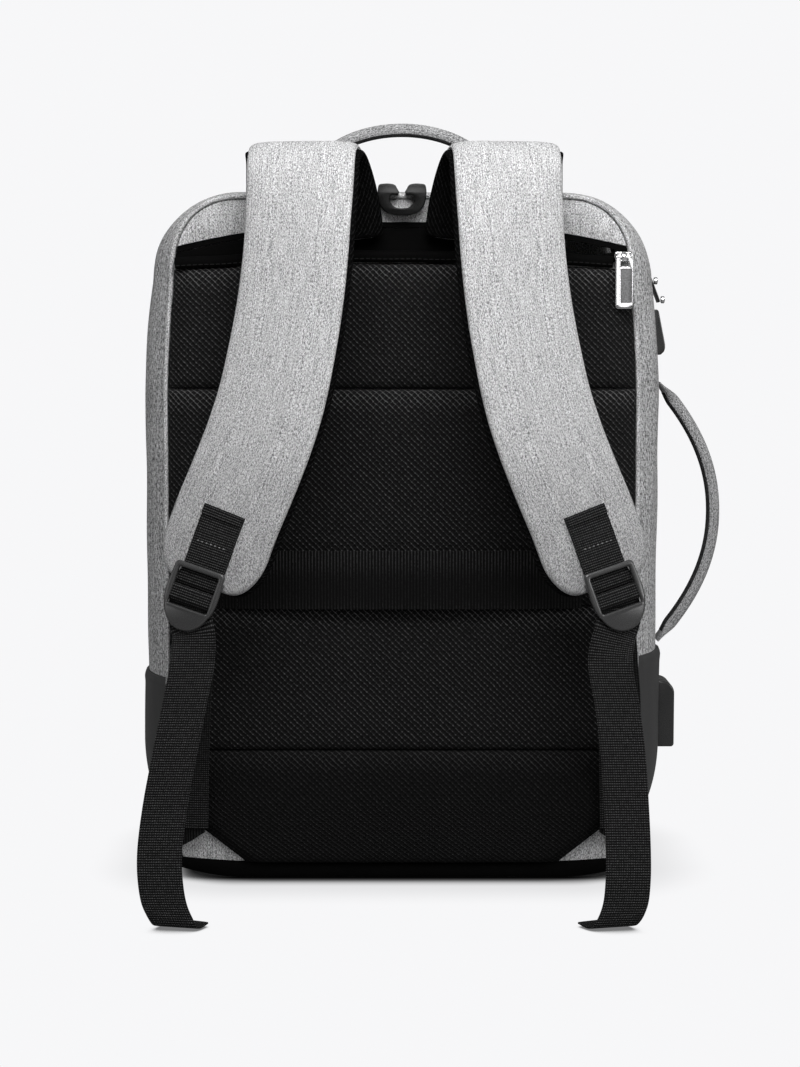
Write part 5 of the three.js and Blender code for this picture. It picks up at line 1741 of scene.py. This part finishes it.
    def lifted(self, ribbon: Ribbon, tail: int) -> Ribbon:
        """The band raised off the floor where a corner would reach it.

        Args:
            ribbon: the band's places.
            tail: number of places of the free tail, whose threads stay level as it drifts aside.

        Returns:
            The band with its final places.
        """
        _, across, up = ribbon.axes(BEHIND)
        across[-tail:] = ribbon.across[-tail:]
        lowest = ribbon.at[:, 2] - np.abs(across[:, 2]) * ribbon.half - np.abs(up[:, 2]) * ribbon.thick
        at = ribbon.at.copy()
        at[:, 2] += np.maximum(0, self.clearance - lowest)
        slack = (np.arange(len(at)) >= len(at) - tail).astype(float)
        return Ribbon(at, across, ribbon.half, ribbon.thick, slack)

    def wing_tab(self) -> None:
        """Cloth tab sewn into the side seam, over the padding's cut corner."""
        f = FORM
        out_low, in_low, in_high, out_high = (
            np.array(p) for p in ((0.868, 0.043), (0.75, 0.073), (0.75, 0.19), (0.868, 0.232))
        )
        a, b = np.linspace(0, 1, 24)[:, None, None], np.linspace(0, 1, 40)[None, :, None]
        corner = mix(mix(out_low, in_low, a), mix(out_high, in_high, a), b)
        x, z = corner[..., 0] * f.reach, corner[..., 1] * f.height
        from_side = f.half_width_at(f.seam, z, f.pad_inset) - x
        y = f.pad_back - f.pad_rise(from_side) - f.gap
        inner = np.stack([self.side * x, y, z], axis=-1)
        outer = inner + BEHIND * self.wing
        piece(
            f"strap_wing_{self.name}_cloth", sheet_mesh(outer, inner), LUGGAGE_WEB,
            (f"strap_wing_{self.name}",), "webbing"
        )


# Middle line of a shoulder strap: x as a share of half the width, y of its reach, z of the height
STRAP_PATH = [
    (0.286, 0.084, 0.924), (0.290, 0.084, 0.944), (0.303, 0.092, 0.974), (0.322, 0.118, 1.004),
    (0.344, 0.190, 1.031), (0.360, 0.300, 1.046),
    (0.368, 0.420, 1.047), (0.372, 0.545, 1.030), (0.374, 0.640, 0.996), (0.380, 0.695, 0.950),
    (0.390, 0.730, 0.895),
    (0.410, 0.765, 0.830), (0.437, 0.798, 0.770), (0.476, 0.830, 0.702), (0.518, 0.858, 0.651),
    (0.575, 0.892, 0.595),
    (0.632, 0.925, 0.543), (0.674, 0.960, 0.499), (0.720, 1.000, 0.449),
]

# Free tails: x as a share of half the width, y of the tail's reach, z of its drop, turn in degrees
TAILS = {
    "left": [
        (0.742, 0.765, 0.860, 4), (0.770, 0.80, 0.710, 0), (0.800, 0.85, 0.560, 0), (0.832, 0.90, 0.390, 0),
        (0.848, 0.95, 0.245, 0), (0.845, 0.98, 0.160, 0), (0.830, 1.00, 0.080, 0), (0.808, 1.01, 0.034, -4),
        (0.794, 1.005, 0.010, -10), (0.779, 0.97, 0.001, -18), (0.754, 0.90, 0.005, -22),
    ],
    "right": [
        (0.736, 0.765, 0.860, 4), (0.760, 0.80, 0.710, 0), (0.777, 0.85, 0.560, 0), (0.787, 0.90, 0.390, 0),
        (0.791, 0.95, 0.245, 0), (0.789, 0.98, 0.160, 0), (0.779, 1.00, 0.080, 0), (0.760, 1.01, 0.034, -4),
        (0.743, 1.005, 0.010, -10), (0.722, 0.97, 0.001, -18), (0.690, 0.90, 0.005, -22),
    ],
}


@dataclass
class Handles:
    """Rounded cloth handles on the top and on the right side."""

    diameter: float = 8.0
    tab_width: float = 22.0
    tab_thickness: float = 2.4
    top_span: float = 116.0
    top_rise: float = 40.5
    side_length: float = 161.0
    side_reach: float = 35.0

    def ribbon(self, at: Array, share: Array) -> Ribbon:
        """Tube that flattens into a sewn tab at both ends."""
        tab = smooth(np.abs(share), 0.86, 1.0)
        across = np.broadcast_to(-BEHIND, at.shape)
        return Ribbon(
            at, across, mix(self.diameter, self.tab_width, tab) / 2,
            mix(self.diameter, self.tab_thickness, tab) / 2
        )

    def build(self) -> None:
        """Builds both handles."""
        f = FORM
        share = np.linspace(-1, 1, 170)
        angle = share * math.pi / 2
        rise = self.top_rise * np.maximum(np.cos(angle), 0) ** 0.9
        top = np.stack(
            [self.top_span / 2 * np.sin(angle), np.full_like(share, f.zip_middle), f.height + f.gap + rise],
            axis=-1
        )
        z = f.height * 0.526 + share * self.side_length / 2
        bow = self.side_reach * (1 - np.abs(share) ** 2.1)
        seat = self.tab_thickness / 2 + f.gap
        side = np.stack([f.side_at(f.girth, z) + seat + bow, 0 * z, z], axis=-1)
        for name, at, facing in (("top_handle", top, UP), ("side_handle", side, np.array([1.0, 0, 0]))):
            mesher = Mesher()
            ribbon = self.ribbon(at, share)
            mesher.tube(ribbon.rings(superellipse(24, 2.2, 0.0), facing))
            piece(name + "_cloth", mesher, HANDLE_CLOTH, (name,))
            _, _, up = ribbon.axes(facing)
            middle = np.abs(share) < 0.84
            line = (ribbon.at - up * (ribbon.thick - 0.12)[:, None])[middle]
            seam = Mesher()
            stitch_row(seam, line, -up[middle], 2.6, 2.4, 0.24)
            piece(name + "_stitches", seam, THREAD_BLACK, (), "webbing")
            # A dark band that shows along the inner half of the handle: painted shade on that side, partly
            # the dark seam binding.
            inside = np.abs(share) < 0.95
            inner = (ribbon.at - up * (ribbon.thick * 0.36)[:, None])[inside]
            band = Ribbon(
                inner, ribbon.across[inside], ribbon.half[inside] * 0.86, ribbon.thick[inside] * 0.72
            )
            shade_band = tube_mesh(band.rings(superellipse(24, 2.2, 0.0), facing))
            piece(name + "_underside", shade_band, HANDLE_SHADE_BAND)


@dataclass
class Hardware:
    """Clip, zip slider and pull, lock and charging socket."""

    clip_depth: float = 7.0
    pull_width: float = 10.4
    pull_length: float = 31.0
    pull_thickness: float = 1.6
    lock_length: float = 28.5
    lock_thickness: float = 7.0
    lock_width: float = 17.0
    puller_radius: float = 2.3
    usb_height: float = 42.0
    usb_reach: float = 11.2
    usb_width: float = 27.0
    usb_mouth: float = 13.2
    boot_proud: float = 2.0

    def build(self) -> None:
        """Builds every small hard piece."""
        self.clip()
        self.slider_and_pull()
        self.lock()
        self.usb()

    def upright(self, mesh: bpy.types.Mesh, origin: tuple[float, float, float]) -> bpy.types.Mesh:
        """Stands a flat piece up: its X stays, its Y goes up and its thickness runs along Y."""
        return placed(mesh, np.array(origin), np.array([[1.0, 0, 0], [0, 0, 1.0], [0, -1.0, 0]]))

    def clip(self) -> None:
        """Open ring on the yoke: broad flat arms whose ends turn down into the hole at the top."""
        f = FORM
        half = np.array([
            (-1.6, 4.0), (-2.7, 5.9), (-4.2, 8.2), (-7.0, 9.0), (-10.6, 9.0), (-13.4, 8.4), (-14.3, 5.4),
            (-14.1, 0.6),
            (-12.8, -3.8), (-9.8, -7.2), (-5.2, -9.0), (0.0, -9.4),
        ])
        hole = np.array(
            [(0.0, -5.4), (-3.8, -4.8), (-6.5, -2.4), (-7.2, 0.4), (-6.4, 2.3), (-4.6, 2.7), (-2.5, 2.3)]
        )
        rim = np.concatenate([half, (half[:-1] * [-1, 1])[::-1]])
        rim = spline(rim, 8)
        bore = spline(np.concatenate([(hole * [-1, 1])[::-1], hole[1:]]), 8)
        ring = flat_piece([np.concatenate([rim, bore])], self.clip_depth, 0.6)
        points = mesh_points(ring)
        curl = smooth(points[:, 1], 1.0, 8.5)
        points[:, 2] *= 1 - 0.16 * curl
        ring.vertices.foreach_set("co", points.astype(np.float32).ravel())
        centre = (0.0, f.piping_face - f.gap - self.clip_depth / 2, f.height * 0.983)
        piece("top_clip_ring", self.upright(ring, centre), CLIP_PLASTIC, ("top_clip",), "plastic", sharp=50)

    def slider_and_pull(self) -> None:
        """Chrome zip slider with its bridge, and the open pull that hangs from it."""
        f = FORM
        x, z = f.reach * 0.824, f.height * 0.901
        hinge = f.back - f.pad_thickness - 2.2 - self.pull_thickness / 2
        face = hinge + self.pull_thickness / 2 + 2.4
        back = f.piping_face - f.gap
        body = flat_piece(
            [rounded([(-5.5, -3.5), (5.5, -3.5), (5.5, 3.5), (-5.5, 3.5)], 2.0)], back - face, 0.9
        )
        piece(
            "back_zip_slider_body", self.upright(body, (x, (face + back) / 2, z)), CHROME,
            ("back_zip_slider",), "chrome"
        )
        bridge = Mesher()
        turn = np.linspace(-math.pi / 2, math.pi / 2, 24)
        at = np.stack(
            [
                np.full(24, x), face + 0.3 - (face + 0.3 - hinge + 1.95) * np.cos(turn) ** 0.5,
                z + 2.55 * np.sin(turn)
            ],
            axis=-1
        )
        one = np.ones(24)
        ribbon = Ribbon(at, np.broadcast_to(np.array([1.0, 0, 0]), at.shape), one * 1.5, one * 0.62)
        bridge.tube(ribbon.rings(superellipse(14, 3.5), UP))
        piece("back_zip_slider_bridge", bridge, CHROME, (), "chrome")
        half, bar, round_corner = self.pull_width / 2, 0.8, 2.0
        low = -self.pull_length + bar
        outline = rounded([(-half, low), (half, low), (half, bar), (-half, bar)], round_corner, 8)
        eye = rounded([(-2.2, -5.6), (2.2, -5.6), (2.2, -bar), (-2.2, -bar)], 0.7)
        left, right, high = -half + 3.3, half - 0.9, -7.2
        window = rounded([(left, low + 3.4), (right, low + 3.4), (right, high), (left, high)], 0.7)
        pull = flat_piece([outline, eye, window], self.pull_thickness, 0.42)
        piece(
            "back_zip_pull_plate", self.upright(pull, (x, hinge, z)), CHROME, ("back_zip_pull",), "chrome",
            PULL
        )
        slack = 0.3
        inlay = rounded(
            [
                (left - slack, low + 3.4 - slack), (right + slack, low + 3.4 - slack),
                (right + slack, high + slack), (left - slack, high + slack)
            ],
            0.6
        )
        plate = flat_piece([inlay], self.pull_thickness * 0.4, 0.1)
        piece("back_zip_pull_inlay", self.upright(plate, (x, hinge + 0.25, z)), STEEL, (), "chrome", PULL)

    def lock(self) -> None:
        """Lock beside the main zip, with the flap and the two pullers that it holds."""
        f = FORM
        low = f.height * 0.7615
        high = low + self.lock_length
        seat_low = float(f.side_at(f.girth, low)) + f.gap
        seat_high = seat_low - 0.6
        nose = seat_low + self.lock_thickness
        near = f.zip_middle
        corners_xz = [
            (seat_low, low), (seat_low + self.lock_thickness * 0.62, low + 0.4), (nose - 0.6, low + 2.4),
            (nose, low + 4.6),
            (nose - 0.1, low + 7), (seat_high + 3.4, high - 1), (seat_high + 2.4, high), (seat_high, high),
        ]
        body = flat_piece([rounded(corners_xz, 0.55, 3)], self.lock_width, 0.8)
        piece("lock_body_case", self.upright(body, (0.0, near, 0.0)), PLASTIC, ("lock_body",), "plastic")
        flap_low = high + 4.6
        flap_high = flap_low + 28
        flap_top = float(f.half_width_at(f.girth, flap_high, 0.7))
        corners_xz = [
            (flap_top, flap_high), (flap_top + 1.4, flap_high + 0.2), (seat_high + 4.6, flap_low + 0.4),
            (seat_high + 3.4, flap_low - 0.3),
        ]
        flap = flat_piece([rounded(corners_xz, 0.4, 3)], self.lock_width - 5, 0.5)
        piece(
            "lock_plate_case", self.upright(flap, (0.0, near, 0.0)), DARK_PLASTIC, ("lock_plate",),
            "plastic"
        )
        slope = (seat_high + 4.6 - flap_top - 1.4) / (flap_high - flap_low)
        for name, z in (("puller_upper", flap_low + 13.4), ("puller_lower", flap_low + 1.6)):
            outside = (
                flap_top + 1.4 + slope * (flap_high - z) + 1.2 + 2 * f.gap + slope * self.puller_radius
            )
            reach = np.array([-1.2, -1.2, -0.9, 0.6, 1.0, 1.2])
            girth = np.array([0.5, 1.9, 2.2, 2.3, 1.9, 1.1])
            turn = np.arange(28) * 2 * math.pi / 28
            ring = np.stack([np.zeros(28), np.cos(turn), np.sin(turn)], axis=-1)
            knob = Mesher()
            centre = np.array([outside, near, z])
            knob.tube(
                centre + reach[:, None, None] * np.array([1.0, 0, 0]) + girth[:, None, None] * ring[None]
            )
            piece(name + "_knob", knob, CHROME, (name,), "chrome")

    def usb(self) -> None:
        """Hood of the charging socket on the right boot, open underneath."""
        f = FORM
        low = f.height * 0.167
        high = low + self.usb_height
        seat = f.reach + self.boot_proud + f.gap
        out = seat + self.usb_reach
        turn = np.linspace(0, math.pi / 2, 14)
        arc = np.stack([out - 8 + 8 * np.cos(turn), high - 8 + 8 * np.sin(turn)], axis=-1)
        outline = np.concatenate(
            [
                [
                    (seat, low), (seat + 2.6, low), (seat + 2.6, low + 12), (seat + 7.8, low + 12),
                    (seat + 7.8, low), (out, low)
                ],
                arc, [(seat, high)]
            ]
        )
        foot = np.stack([out - 2 + 2 * np.sin(turn), low + 2 - 2 * np.cos(turn)], axis=-1)
        solid = np.concatenate([[(seat, low)], foot, arc, [(seat, high)]])
        hood = flat_piece([outline], self.usb_mouth + 0.2, 0.02)
        piece(
            "usb_housing_middle", self.upright(hood, (0.0, f.zip_middle, 0.0)), PLASTIC, ("usb_housing",),
            "plastic"
        )
        for side in (-1, 1):
            depth = (self.usb_width - self.usb_mouth) / 2
            cheek = flat_piece([solid], depth, 1.3)
            centre = f.zip_middle + side * (self.usb_mouth + depth) / 2
            piece(
                f"usb_housing_cheek_{'near' if side < 0 else 'far'}",
                self.upright(cheek, (0.0, centre, 0.0)), PLASTIC, (), "plastic"
            )


@dataclass
class Studio:
    """Pale floor, soft light and the camera."""

    backdrop: float = 247.0
    floor_bounce: float = 0.4
    shadow_half: tuple[float, float] = (0.128, 0.061)
    shadow_middle: float = 0.001
    shadow_corner: float = 0.03
    shadow_edge: float = 0.024
    shadow_halo: tuple[float, float] = (0.015, 0.07)
    halo_share: float = 0.18
    contact_reach: float = 0.014
    contact_shade: float = 0.2
    fade_start: float = 0.55
    fade_end: float = 1.1
    sky_light: float = 0.27
    ground_light: float = 0.06
    pitch: float = 5.0
    distance: float = 1.3
    lens: float = 73.1

    def build(self) -> None:
        """Sets the floor, the lights, the world and the camera."""
        self.floor()
        self.world()
        self.lights()
        self.camera()
        bpy.context.scene.view_settings.view_transform = "Standard"

    def floor(self) -> None:
        """Wide plain disc that shows the backdrop's tone, with soft shade where things stand on it."""
        turn = np.arange(96) * 2 * math.pi / 96
        radii = np.array([1e-3, 0.25, 0.5, 1.0, 3.0])
        x = radii[:, None] * np.cos(turn)
        points = np.stack([x, radii[:, None] * np.sin(turn), 0 * x], axis=-1) / MM
        mesher = Mesher()
        mesher.grid(points, wrap=True)
        floor = mesher.build("floor", 40)
        material = bpy.data.materials.new("floor_paper")
        material.use_nodes = True
        tree = material.node_tree
        n = Nodes(tree)
        paper = tree.nodes["Principled BSDF"]
        paper.inputs["Base Color"].default_value = (self.floor_bounce,) * 3 + (1.0,)
        paper.inputs["Roughness"].default_value = 1.0
        paper.inputs["Specular IOR Level"].default_value = 0.0
        place = n.add("TexCoord").outputs["Object"]
        # Painted shadow: darker the nearer the base's rounded footprint, with a faint halo, times ambient
        # occlusion where things touch, blended into the colour that the floor emits to the camera.
        from_middle = n.add(
            "VectorMath", {0: place, 1: (0.0, self.shadow_middle, 0.0)}, operation="SUBTRACT"
        ).outputs[0]
        folded = n.add("VectorMath", {0: from_middle}, operation="ABSOLUTE").outputs[0]
        core = tuple(half - self.shadow_corner for half in self.shadow_half) + (0.0,)
        beyond = n.add("VectorMath", {0: folded, 1: core}, operation="SUBTRACT").outputs[0]
        outside = n.add("VectorMath", {0: beyond, 1: (0.0, 0.0, 0.0)}, operation="MAXIMUM").outputs[0]
        gap = n.maths(
            "SUBTRACT", n.add("VectorMath", {0: outside}, operation="LENGTH").outputs["Value"],
            self.shadow_corner
        )
        close = n.add("AmbientOcclusion", {"Distance": self.contact_reach}, samples=16).outputs["AO"]
        shade = n.maths(
            "ADD", n.ease(gap, 0.0, self.shadow_edge, (0.0, 1 - self.halo_share)),
            n.ease(gap, *self.shadow_halo, (0.0, self.halo_share))
        )
        shade = n.maths("MULTIPLY", shade, n.ease(close, 0.3, 0.9, (self.contact_shade, 1.0)))
        shown = n.add("Emission", {"Color": n.blend(shade, grey(0), grey(self.backdrop)), "Strength": 1.0})
        clear = n.add("BsdfTransparent")
        far = n.add("VectorMath", {0: place}, operation="LENGTH").outputs["Value"]
        fade = n.ease(far, self.fade_start, self.fade_end)
        edge = n.add("MixShader", {0: fade, 1: shown.outputs[0], 2: clear.outputs[0]})
        camera_ray = n.add("LightPath").outputs["Is Camera Ray"]
        chosen = n.add("MixShader", {0: camera_ray, 1: paper.outputs[0], 2: edge.outputs[0]})
        tree.links.new(chosen.outputs[0], tree.nodes["Material Output"].inputs["Surface"])
        floor.data.materials.append(material)

    def world(self) -> None:
        """Soft sky, brighter above than below, that shows the backdrop's tone to the camera."""
        world = bpy.data.worlds.new("studio")
        bpy.context.scene.world = world
        world.use_nodes = True
        n = Nodes(world.node_tree)
        sky = world.node_tree.nodes["Background"]
        sky.inputs["Strength"].default_value = 1.0
        height = n.add("SeparateXYZ", {0: n.add("TexCoord").outputs["Generated"]}).outputs[2]
        share = n.ease(height, -0.25, 0.7)
        low, high = ((level,) * 3 + (1.0,) for level in (self.ground_light, self.sky_light))
        world.node_tree.links.new(n.blend(share, low, high), sky.inputs["Color"])
        seen = n.add("Background", {"Color": grey(self.backdrop), "Strength": 1.0})
        ray = n.add("LightPath")
        chosen = n.add(
            "MixShader", {0: ray.outputs["Is Camera Ray"], 1: sky.outputs[0], 2: seen.outputs[0]}
        )
        world.node_tree.links.new(chosen.outputs[0], world.node_tree.nodes["World Output"].inputs[0])

    def lights(self) -> None:
        """Large soft key over the front of the bag, and weaker lights from the left and the right."""
        table = (
            ("key", (0.03, -0.5, 0.76), (0.0, -0.1, 0.38), 0.46, 4.5),
            ("fill_left", (-1.25, -0.75, 0.5), (0.0, 0.0, 0.22), 0.7, 1.8),
            ("fill_right", (1.2, -0.8, 0.55), (0.0, 0.0, 0.22), 0.6, 5.0),
            ("card", (0.27, -1.34, 0.43), (0.13, -0.07, 0.36), 0.4, 0.6),
        )
        for name, place, aim, size, power in table:
            lamp = bpy.data.lights.new(name, "AREA")
            lamp.energy = power
            lamp.shape = "DISK"
            lamp.size = size
            holder = bpy.data.objects.new(name, lamp)
            holder.location = place
            holder.rotation_euler = (Vector(place) - Vector(aim)).to_track_quat("Z", "Y").to_euler()
            bpy.context.scene.collection.objects.link(holder)

    def camera(self) -> None:
        """Camera at the photograph's angle, a little above the bag's middle."""
        target = Vector((-0.0012, -0.06, 0.2098))
        back = Vector((0.0, -math.cos(math.radians(self.pitch)), math.sin(math.radians(self.pitch))))
        data = bpy.data.cameras.new("camera")
        data.lens = self.lens
        holder = bpy.data.objects.new("camera", data)
        holder.location = target + back * self.distance
        holder.rotation_euler = back.to_track_quat("Z", "Y").to_euler()
        bpy.context.scene.collection.objects.link(holder)
        bpy.context.scene.camera = holder


def main() -> None:
    logging.basicConfig(level=logging.INFO, format="%(name)s: %(message)s")
    parts = [
        Body(), Back(), Padding(), Strap(-1, "left"), Strap(1, "right"), Handles(), Hardware(), Studio()
    ]
    for part in parts:
        log.info("building %s", type(part).__name__)
        part.build()


if __name__ == "__main__":
    main()
